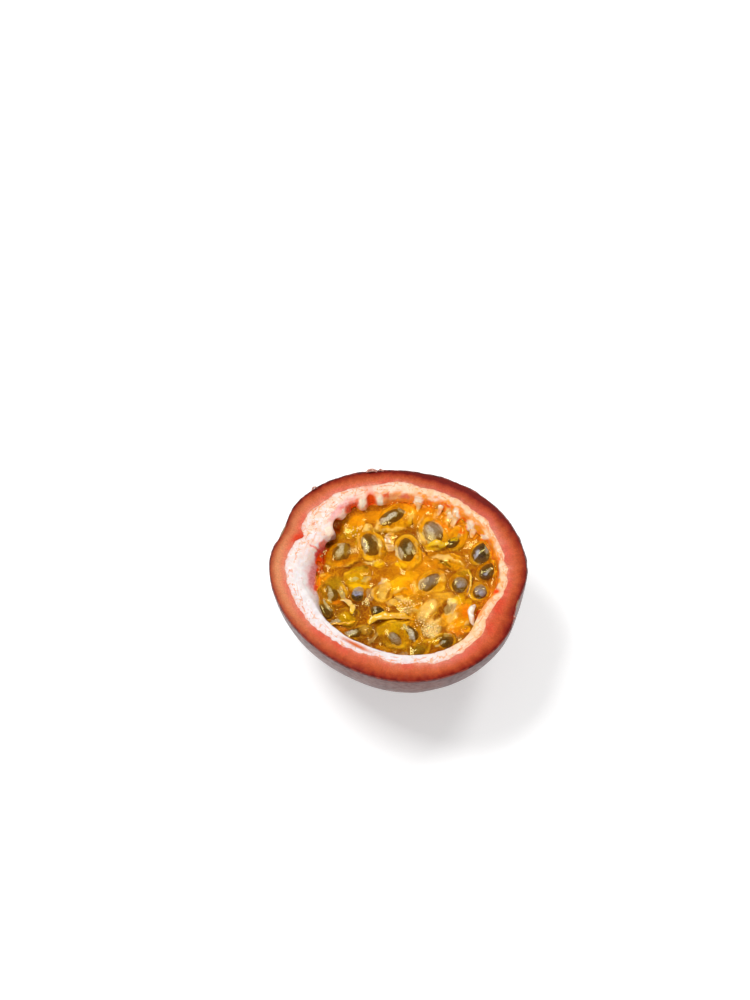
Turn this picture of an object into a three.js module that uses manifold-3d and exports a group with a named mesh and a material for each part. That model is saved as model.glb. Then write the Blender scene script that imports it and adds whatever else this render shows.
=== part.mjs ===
// Half of a purple passion fruit, cut along its length, lying on its back with the cut face up.
// Millimetres, +Z up. The fruit's long axis lies near X. The origin is the middle of the small
// flat spot that the half rests on.
//
// Three solids nest in each other: the shell (skin and red wall), the white pith that lines it,
// and the pulp, a heap of juice sacs with their seeds.

import * as THREE from 'three';
import { mergeVertices } from 'three/addons/utils/BufferGeometryUtils.js';
import Module from 'manifold-3d';

const wasm = await Module();
wasm.setup();

// ---- Driving dimensions -------------------------------------------------------------------

const CUT_HEIGHT = 26;          // the cut face above the surface below
const SKIN_DEPTH = 26.3;        // the round bottom, before it flattens where it rests
const PITH_DEPTH = 22.6;        // cut face to the bottom of the red wall
const CAVITY_DEPTH = 20.2;      // cut face to the bottom of the pith
const LAYER_GAP = 0.3;          // between one layer and the next
const SIDES = 56;               // facets round each layer
const CLEAR = 1;                // how far a cutting shape stands past what it cuts
const MERGE_REACH = 1e-4;       // corners closer than this are one

// Each outline on the cut face is a mean radius with rounded lobes, one, two and three times
// round, as [rise, angle of its peak], and dents where the fruit's two ends are. A negative
// depth swells the outline instead.
const SKIN_OUTLINE = {
  radius: 27.7,
  lobes: [[0.77, 69], [1.63, -18], [0.45, 35]],
  dents: [{ at: 157, width: 11, depth: 1.5 }, { at: -15, width: 11, depth: 1.4 }],
};
const PITH_OUTLINE = {
  radius: 23.85,
  lobes: [[1.03, 92], [1.6, -19], [0.3, 56]],
  dents: [{ at: 157, width: 11, depth: 1.3 }, { at: -25, width: 16, depth: 2.1 }],
};
const CAVITY_OUTLINE = {
  radius: 21.2,
  lobes: [[1.45, 46], [1.11, -16], [0.2, 42]],
  dents: [
    { at: 147, width: 16, depth: 2.8 },
    { at: -25, width: 16, depth: 2.2 },
    { at: 180, width: 14, depth: -1.3 },
  ],
};
const DENT_REACH = 6;           // how far below the cut a dent fades out

// Under its edge the pith slopes in over the cavity, at the stem end and along the far side.
const WALL_LEANS = [
  { at: 177, width: 25, slope: 2.0, reach: 2.6 },
  { at: 68, width: 62, slope: 1.1, reach: 2.0 },
];

const PULP_LEVEL = 3.1;         // pulp surface below the cut face
const PULP_RIPPLE = 0.3;        // rise and fall of that surface
const RIPPLE_LENGTH = 9;
const PULP_CELL = 3;            // grid that the surface is drawn on

// White fingers on the far wall that held the seeds: angle, width, length.
const FINGERS = [
  [14, 1.2, 2.4], [27.5, 1.5, 2.8], [38.5, 2.3, 3.4], [49.5, 2.4, 3.8], [57, 1.6, 3.0],
  [66, 2.0, 2.8], [76.3, 2.0, 3.2], [88, 1.4, 2.4], [102.2, 2.4, 3.2], [114, 2.6, 3.6],
  [129.5, 2.8, 3.2], [143.5, 3.0, 3.8], [-24, 1.6, 4.4],
];
const FINGER_DROP = 1.7;        // middle of a finger below the cut face
const FINGER_REACH = 0.3;       // middle of a finger inside the sloping wall
const FINGER_TILT = 52;         // how steeply a finger hangs

// Hollows in the pith where sacs tore away: angle, drop, width, height, depth.
const POCKETS = [
  [106.8, 1.6, 1.9, 3.0, 0.7], [135, 2.4, 2.4, 2.2, 1.0], [149, 3.2, 2.2, 1.8, 1.4],
  [163, 3.2, 3.4, 1.8, 0.9],
];

// Juice sacs: x, y, length, width, turn of the long axis, top below the cut face.
const SACS = [
  [-0.4, 15.5, 9.8, 7.4, 24, 1.6],
  [-6.0, 8.9, 8.4, 6.6, 112, 1.7],
  [2.2, 7.3, 8.8, 6.2, 95, 1.5],
  [7.8, 12.0, 9.0, 6.6, 112, 1.7],
  [13.2, 10.6, 6.8, 4.8, 40, 2.0],
  [18.9, 6.9, 6.6, 5.6, 60, 1.7],
  [20.2, 2.2, 6.4, 4.2, 45, 1.8],
  [18.1, -2.7, 4.8, 4.4, 90, 1.9],
  [14.1, 0.1, 7.0, 5.2, 65, 1.8],
  [7.7, -0.3, 8.2, 5.6, 48, 1.7],
  [-12.2, 6.8, 9.2, 7.2, 22, 1.8],
  [-9.0, 0.9, 7.2, 5.4, 20, 1.9],
  [-14.5, -2.4, 8.6, 6.4, 112, 2.0],
  [-16.3, -7.2, 7.0, 4.8, 125, 2.1],
  [-11.2, -8.8, 6.0, 5.4, 80, 2.0],
  [-8.6, -12.8, 7.4, 4.0, 20, 2.2],
  [-0.6, -13.3, 8.6, 7.2, -30, 1.6],
  [10.2, -14.9, 6.0, 4.8, 10, 1.9],
  [9.2, -7.2, 11.0, 8.6, 50, 2.0],
  [1.4, -3.4, 8.6, 6.4, -20, 2.1],
];
const SAC_HEIGHT = 3.8;

// Hollows in the pulp where it pulled away from the pith: x, y, width, depth.
const HOLLOWS = [[-13.3, 13.3, 2.0, 1.3], [-17.0, 5.6, 2.2, 1.4], [-17.6, 2.9, 2.0, 1.1]];

// Seeds: x, y, length, width, turn of the long axis, top below the cut face.
const SEEDS = [
  [-1.2, 15.8, 6.4, 3.7, 30, 1.4],
  [-6.3, 8.9, 5.6, 4.0, 108, 1.4],
  [2.0, 7.5, 6.0, 3.7, 95, 1.3],
  [8.0, 12.2, 5.9, 3.9, 115, 1.4],
  [12.8, 9.8, 4.4, 2.4, 35, 1.8],
  [19.1, 6.8, 5.3, 4.2, 60, 1.4],
  [20.4, 2.2, 5.0, 3.0, 45, 1.5],
  [18.4, -2.6, 3.6, 3.0, 100, 1.6],
  [14.1, -0.8, 4.4, 3.4, 60, 1.6],
  [7.2, -0.6, 5.6, 3.1, 48, 1.4],
  [-12.6, 7.2, 5.0, 3.6, 60, 1.6],
  [-9.0, -3.2, 3.8, 3.2, 20, 2.3],
  [-4.8, -7.4, 3.6, 2.8, 140, 2.2],
  [-15.0, -2.5, 5.0, 3.0, 112, 1.8],
  [-16.6, -7.2, 4.6, 2.9, 125, 1.9],
  [-13.6, -9.6, 3.4, 2.2, 60, 2.4],
  [-9.5, -12.7, 4.6, 2.4, 20, 2.0],
  [-0.6, -14.4, 3.8, 2.6, -40, 1.5],
  [2.8, -12.8, 4.6, 2.5, 125, 1.9],
  [4.8, -17.0, 3.8, 2.5, 30, 2.2],
  [10.9, -15.1, 3.7, 3.0, 20, 1.7],
  [11.2, -6.9, 5.0, 3.2, 60, 1.9],
];
const SEED_HEIGHT = 2.4;

// ---- Outlines and levels ------------------------------------------------------------------

const radians = THREE.MathUtils.degToRad;

function bump(angle, at, width) {
  const turns = (angle - radians(at)) / (2 * Math.PI);
  const away = (turns - Math.round(turns)) * 360;
  return Math.exp(-((away / width) ** 2));
}

function outlineRadius(outline, angle, drop) {
  let radius = outline.radius;
  outline.lobes.forEach(([rise, peak], index) => {
    radius += rise * Math.cos((index + 1) * (angle - radians(peak)));
  });
  const fade = Math.exp(-((drop / DENT_REACH) ** 2));
  outline.dents.forEach(({ at, width, depth }) => {
    radius -= depth * fade * bump(angle, at, width);
  });
  return radius;
}

function wallLean(angle, drop) {
  return WALL_LEANS.reduce((sum, { at, width, slope, reach }) => {
    return sum + bump(angle, at, width) * slope * reach * (1 - Math.exp(-drop / reach));
  }, 0);
}

function pulpLevel(x, y) {
  const turn = (2 * Math.PI) / RIPPLE_LENGTH;
  return CUT_HEIGHT - PULP_LEVEL + PULP_RIPPLE * Math.sin(x * turn) * Math.cos(y * turn);
}

// ---- Solids -------------------------------------------------------------------------------

function solid(geometry) {
  geometry.deleteAttribute('normal');
  geometry.deleteAttribute('uv');
  const merged = mergeVertices(geometry, MERGE_REACH);
  const mesh = new wasm.Mesh({
    numProp: 3,
    vertProperties: new Float32Array(merged.attributes.position.array),
    triVerts: new Uint32Array(merged.index.array),
  });
  return new wasm.Manifold(mesh);
}

// A half-egg with its flat side up, turned on a lathe and then drawn out to its outline. With a
// rise its side goes on straight up past the cut face, to cut a hollow with.
function halfEgg({ outline, depth, inset = 0, rise = 0, rings = 9, leaning = false }) {
  const profile = [];
  for (let i = 0; i <= rings; i += 1) {
    const turn = (Math.PI / 2) * (i / rings);
    profile.push(new THREE.Vector2(Math.sin(turn), -Math.cos(turn)));
  }
  if (rise > 0) {
    profile.push(new THREE.Vector2(1, 1));
  }
  profile.push(new THREE.Vector2(0, 1));
  const geometry = new THREE.LatheGeometry(profile, SIDES);
  geometry.rotateX(Math.PI / 2);
  const place = geometry.attributes.position;
  for (let i = 0; i < place.count; i += 1) {
    const share = Math.hypot(place.getX(i), place.getY(i));
    const angle = Math.atan2(place.getY(i), place.getX(i));
    const drop = Math.max(0, -place.getZ(i)) * (depth - inset);
    const lean = leaning ? wallLean(angle, drop) : 0;
    const radius = share * (outlineRadius(outline, angle, drop) - inset - lean);
    const lift = place.getZ(i) > 0.5 ? rise : -drop;
    place.setXYZ(i, radius * Math.cos(angle), radius * Math.sin(angle), CUT_HEIGHT + lift);
  }
  return solid(geometry);
}

// All the space above the pulp's rippled surface.
function spaceOverPulp() {
  const width = 2 * SKIN_OUTLINE.radius;
  const cells = Math.round(width / PULP_CELL);
  const geometry = new THREE.BoxGeometry(width, width, 1, cells, cells, 1);
  const place = geometry.attributes.position;
  for (let i = 0; i < place.count; i += 1) {
    const level = pulpLevel(place.getX(i), place.getY(i));
    place.setZ(i, place.getZ(i) < 0 ? level : CUT_HEIGHT + CLEAR);
  }
  return solid(geometry);
}

function spaceBelow() {
  const width = 2 * SKIN_OUTLINE.radius;
  const geometry = new THREE.BoxGeometry(width, width, width);
  geometry.translate(0, 0, -width / 2);
  return solid(geometry);
}

// A round body of 80 faces, or of 32 where it is small.
function ellipsoid({ size, centre, turn, tilt = 0, small = false }) {
  const geometry = small ? new THREE.OctahedronGeometry(0.5, 1) : new THREE.IcosahedronGeometry(0.5, 1);
  geometry.scale(...size);
  geometry.rotateY(-tilt);
  geometry.rotateZ(turn);
  geometry.translate(...centre);
  return solid(geometry);
}

// The fingers point inward and down from the wall. Grown fingers cut their own room in the pulp.
function fingers(growth) {
  return FINGERS.map(([at, width, length]) => {
    const angle = radians(at);
    const slope = wallLean(angle, FINGER_DROP);
    const wall = outlineRadius(CAVITY_OUTLINE, angle, FINGER_DROP) - slope - FINGER_REACH;
    return ellipsoid({
      size: [length + growth, width + growth, width + growth],
      centre: [wall * Math.cos(angle), wall * Math.sin(angle), CUT_HEIGHT - FINGER_DROP],
      turn: angle,
      tilt: radians(FINGER_TILT),
      small: true,
    });
  });
}

function pockets() {
  return POCKETS.map(([at, drop, width, height, depth]) => {
    const angle = radians(at);
    const share = Math.sqrt(1 - (drop / CAVITY_DEPTH) ** 2);
    const wall = share * (outlineRadius(CAVITY_OUTLINE, angle, drop) - wallLean(angle, drop));
    return ellipsoid({
      size: [2 * depth, width, height],
      centre: [wall * Math.cos(angle), wall * Math.sin(angle), CUT_HEIGHT - drop],
      turn: angle,
      small: true,
    });
  });
}

function hollows() {
  return HOLLOWS.map(([x, y, width, depth]) => ellipsoid({
    size: [width, width, 2 * depth],
    centre: [x, y, CUT_HEIGHT - PULP_LEVEL],
    turn: 0,
    small: true,
  }));
}

function sac([x, y, length, width, turn, top]) {
  return ellipsoid({
    size: [length, width, SAC_HEIGHT],
    centre: [x, y, CUT_HEIGHT - top - SAC_HEIGHT / 2],
    turn: radians(turn),
  });
}

function seed([x, y, length, width, turn, top]) {
  return ellipsoid({
    size: [length, width, SEED_HEIGHT],
    centre: [x, y, CUT_HEIGHT - top - SEED_HEIGHT / 2],
    turn: radians(turn),
    small: true,
  });
}

function makeShell() {
  const outside = halfEgg({ outline: SKIN_OUTLINE, depth: SKIN_DEPTH, rings: 11 });
  const hollow = halfEgg({ outline: PITH_OUTLINE, depth: PITH_DEPTH, rise: CLEAR });
  return outside.subtract(hollow).subtract(spaceBelow());
}

function without(body, cuts) {
  return cuts.reduce((rest, cut) => rest.subtract(cut), body);
}

function makePith() {
  const outside = halfEgg({ outline: PITH_OUTLINE, depth: PITH_DEPTH, inset: LAYER_GAP });
  const hollow = halfEgg({
    outline: CAVITY_OUTLINE, depth: CAVITY_DEPTH, rise: CLEAR, leaning: true,
  });
  const lining = without(outside.subtract(hollow), pockets());
  return fingers(0).reduce((sum, finger) => sum.add(finger), lining);
}

function makePulp() {
  const room = halfEgg({
    outline: CAVITY_OUTLINE, depth: CAVITY_DEPTH, inset: LAYER_GAP, leaning: true,
  });
  const pieces = [...SACS.map(sac), ...SEEDS.map(seed)];
  const heap = pieces.reduce((sum, piece) => sum.add(piece), room.subtract(spaceOverPulp()));
  return without(heap.intersect(room), [...fingers(2 * LAYER_GAP), ...hollows()]);
}

// ---- The part -----------------------------------------------------------------------------

function sceneMesh(name, shape, finish) {
  const made = shape.getMesh();
  const geometry = new THREE.BufferGeometry();
  geometry.setAttribute('position', new THREE.BufferAttribute(made.vertProperties, 3));
  geometry.setIndex(new THREE.BufferAttribute(made.triVerts, 1));
  geometry.computeVertexNormals();
  const mesh = new THREE.Mesh(geometry, new THREE.MeshStandardMaterial(finish));
  mesh.name = name;
  return mesh;
}

const half = new THREE.Group();
half.add(sceneMesh('shell', makeShell(), { color: 0x7a3238, roughness: 0.45, metalness: 0 }));
half.add(sceneMesh('pith', makePith(), { color: 0xf3e0d6, roughness: 0.7, metalness: 0 }));
half.add(sceneMesh('pulp', makePulp(), { color: 0xe39a17, roughness: 0.2, metalness: 0 }));

export default half;
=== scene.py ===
# Half of a purple passion fruit, cut along its length, dressed over its CAD solids.
#
# Shapes are worked out in millimetres, in the CAD's own frame, and turned into metres where a
# mesh is made. "Drop" is a depth below the cut face, and an angle runs round the fruit from +X.

import functools
import math

import bmesh
import bpy
import numpy as np
from mathutils import Matrix, Vector


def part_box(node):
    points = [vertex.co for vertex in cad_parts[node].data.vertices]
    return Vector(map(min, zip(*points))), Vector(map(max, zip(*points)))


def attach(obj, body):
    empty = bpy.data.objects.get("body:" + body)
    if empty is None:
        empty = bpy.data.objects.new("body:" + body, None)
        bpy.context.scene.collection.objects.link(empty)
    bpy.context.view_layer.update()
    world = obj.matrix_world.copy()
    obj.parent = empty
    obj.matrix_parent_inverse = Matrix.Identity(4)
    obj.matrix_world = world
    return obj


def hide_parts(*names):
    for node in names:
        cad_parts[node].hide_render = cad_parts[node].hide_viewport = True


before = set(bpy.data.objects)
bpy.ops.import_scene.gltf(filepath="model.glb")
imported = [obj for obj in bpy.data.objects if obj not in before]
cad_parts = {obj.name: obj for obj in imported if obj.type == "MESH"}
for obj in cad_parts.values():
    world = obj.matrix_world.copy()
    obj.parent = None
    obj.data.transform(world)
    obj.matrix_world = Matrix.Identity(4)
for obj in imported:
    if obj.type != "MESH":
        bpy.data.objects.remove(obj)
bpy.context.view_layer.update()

# ---- Sizes ----------------------------------------------------------------------------------

MM = 0.001
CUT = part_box("shell")[1].z / MM           # height of the cut face
SKIN_DEPTH = 26.3                         # the round bottom, before it flattens where it rests
PITH_DEPTH = 22.6
CAVITY_DEPTH = 20.2
SKIN_THICKNESS = 0.3

# Outlines on the cut face: a mean radius, lobes one, two and three times round, as (rise, angle
# of its peak), and dents at the fruit's ends, as (angle, width, depth).
SKIN = {
    "radius": 27.7,
    "lobes": ((0.77, 69), (1.63, -18), (0.45, 35)),
    "dents": ((157, 11, 1.5), (-15, 11, 1.4)),
}
PITH = {
    "radius": 23.85,
    "lobes": ((1.03, 92), (1.6, -19), (0.3, 56)),
    "dents": ((157, 11, 1.3), (-25, 16, 2.1)),
}
CAVITY = {
    "radius": 21.2,
    "lobes": ((1.45, 46), (1.11, -16), (0.2, 42)),
    "dents": ((147, 16, 2.8), (-25, 16, 2.2), (180, 14, -1.3)),
}
DENT_REACH = 6.0                          # how deep under the cut a dent fades
WALL_LEANS = ((177, 25, 2.0, 2.6), (68, 62, 1.1, 2.0))    # angle, width, slope, reach
CUT_WAVES = ((0.22, 17, 3), (0.07, 5, 5))                 # height, size, seed
WAVE_REACH = 3.0                          # how deep the knife's waver and the ragged border go

# Rings on which noise and lengths round the fruit are worked out.
EDGE_RING = 28.0                          # along the skin's edge
SKIN_RING = 27.0                          # over the skin
BORDER_RING = 24.0                        # along the border between red wall and pith
WALL_RING = 21.0                          # along the pith's inner wall

PULP_DROP = 2.9                           # the juice between the sacs, below the cut face

# Juice sacs: x, y, length, width, turn, drop of the top, slope along x and y, tint.
SACS = (
    (-0.4, 15.5, 9.8, 7.4, 24, 1.5, 0.05, -0.1, "amber"),
    (-6, 8.9, 8.4, 6.6, 112, 1.6, -0.04, -0.06, "amber"),
    (2.2, 7.3, 8.8, 6.2, 95, 1.4, 0.04, -0.08, "amber"), (7.8, 12, 9, 6.6, 112, 1.6, 0.1, -0.08, "cloudy"),
    (13.2, 10.6, 6.8, 4.8, 40, 2, 0.1, 0, "olive"), (18.9, 6.9, 6.6, 5.6, 60, 1.6, 0.12, -0.05, "amber"),
    (20.2, 2.2, 6.4, 4.2, 45, 1.8, 0.08, 0.05, "amber"),
    (18.1, -2.7, 4.8, 4.4, 90, 1.9, 0.05, 0.1, "cloudy"), (14.1, 0.1, 7, 5.2, 65, 1.8, 0.02, 0, "amber"),
    (7.7, -0.3, 8.2, 5.6, 48, 1.6, -0.03, -0.06, "cloudy"),
    (-12.2, 6.8, 9.2, 7.2, 22, 1.8, -0.06, -0.06, "amber"),
    (-9, 0.9, 7.2, 5.4, 20, 1.9, -0.05, -0.05, "yellow"),
    (-14.5, -2.4, 8.6, 6.4, 112, 2.1, -0.05, 0, "olive"),
    (-16.3, -7.2, 7, 4.8, 125, 2.3, -0.05, 0.05, "olive"), (-11.2, -8.8, 6, 5.4, 80, 2, 0, 0.05, "yellow"),
    (-8.6, -12.8, 7.4, 4, 20, 2.3, 0, 0.08, "olive"), (-0.6, -13.3, 8.6, 7.2, -30, 1.5, 0, 0.08, "yellow"),
    (3.3, -12.6, 6.4, 3.8, 125, 2, 0.08, 0.02, "amber"), (5.2, -16.6, 7, 4.2, 35, 2.4, 0, 0.1, "olive"),
    (10.2, -14.9, 6, 4.8, 10, 1.9, 0.02, 0.1, "yellow"), (9.2, -7.2, 11, 8.6, 50, 2, 0, 0.02, "milky"),
    (-3.4, -2.6, 6.4, 5, 20, 2.1, 0, 0, "milky"), (1.8, -2, 7.4, 6, -30, 2, 0, 0, "bright"),
    (2.4, -6.6, 6.8, 5, 20, 2.3, 0, 0, "bright"), (14.6, -8.6, 6, 4.6, 70, 2.4, 0.1, 0, "orange"),
    (12.6, 5, 6.4, 4.4, 150, 2.3, 0, 0, "bright"), (-9.8, 13.6, 6.6, 5.4, 40, 2.4, -0.05, -0.1, "bright"),
    (14, 14, 6, 4.2, -40, 2.7, 0.1, -0.1, "orange"), (-4.6, -7.8, 5, 4, 110, 2.6, 0, 0, "amber"),
    (-6.8, 13.5, 2.8, 2, 20, 2.2, 0, 0, "milky"), (-4.5, 13.2, 2.2, 1.8, -10, 2.1, 0, 0, "milky"),
    (-4.6, 4.6, 3.2, 1.8, 10, 2.2, 0, 0, "milky"), (3.6, -4.7, 3.4, 2.4, 40, 2.2, 0, 0, "milky"),
    (-0.8, -5.2, 2.8, 2, -20, 2.3, 0, 0, "milky"), (5, -8.8, 3, 2.4, 60, 2.2, 0, 0, "milky"),
    (5.4, -3, 2.4, 1.8, 20, 2.2, 0, 0, "bright"), (13.4, -10.6, 3.2, 2.2, 50, 2.3, 0, 0, "orange"),
    (11.4, -11.8, 2.4, 1.8, 10, 2.3, 0, 0, "milky"), (15.2, -11.8, 2.4, 1.8, 60, 2.4, 0, 0, "bright"),
    (-17.2, 1.2, 2.4, 1.8, 70, 2.3, 0, 0, "bright"), (-18.2, -1.6, 2.4, 1.6, 80, 2.4, 0, 0, "orange"),
)
SAC_HEIGHT = 1.8
SAC_SWAY = 0.45                           # how far a sac's outline strays from an ellipse
SAC_FRAY = 0.14                           # how far it wrinkles on top of that
FLESH_SHADE = 0.88                        # how much of its light the flesh gives back
NEAR_SHADE = 0.24                         # how much duller it is at the near left

# Seeds: x, y, length, width, turn, how deep the gel covers it, nod (end that dips).
SEEDS = (
    (-1.2, 15.8, 6.4, 3.7, 30, 0.3, 0), (-6.3, 8.9, 5.6, 4, 108, 0.35, 0), (2, 7.5, 6, 3.7, 95, 0.25, 0),
    (8, 12.2, 5.9, 3.9, 115, 0.45, 0), (12.8, 9.8, 4.4, 2.2, 35, 0.3, 15),
    (19.1, 6.8, 5.3, 4.2, 60, 0.15, 0), (20.4, 2.2, 5, 3, 45, 0.2, 10), (18.4, -2.6, 3.6, 3, 100, 0.25, 30),
    (14.1, -0.8, 4.4, 3.4, 60, 0.35, 15), (7.2, -0.6, 5.6, 3.1, 48, 0.4, 0),
    (-12.6, 7.2, 5, 3.6, 60, 0.5, 0), (-9, -3.2, 3.8, 3.2, 20, 0, 8), (-4.8, -7.4, 3.6, 2.8, 140, 0.05, 25),
    (-15, -2.5, 5, 3, 112, 0.6, 10), (-16.6, -7.2, 4.6, 2.9, 125, 0.35, 10),
    (-13.6, -9.6, 3.4, 2.2, 60, 0.55, 20), (-9.5, -12.7, 4.6, 2.4, 20, 0.4, 10),
    (-0.6, -14.4, 3.8, 2.6, -40, 0.45, 20), (2.8, -12.8, 4.6, 2.5, 125, 0.3, 10),
    (4.8, -17, 3.8, 2.5, 30, 0.5, 15), (10.9, -15.1, 3.7, 3, 20, 0.25, 20),
    (11.2, -6.9, 5, 3.2, 60, 0.95, 0),
)
SEED_HEIGHT = 2.4

# White fingers on the wall: angle, width, how far it reaches in, drop where it reaches furthest.
FINGERS = (
    (27.5, 1.5, 0.5, 1.7), (38.5, 2.3, 1, 2.2), (49.5, 2.4, 1.3, 2.6), (57, 1.6, 0.7, 2.2),
    (66, 2, 0.5, 1.5), (76.3, 2, 0.8, 1.9), (102.2, 2.4, 0.8, 1.9), (114, 2.6, 1, 2.2),
    (129.5, 2.8, 0.9, 1.5), (143.5, 3, 1.1, 2), (88, 1.4, 0.3, 1.2), (14, 1.2, 0.4, 1.4),
)

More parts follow.
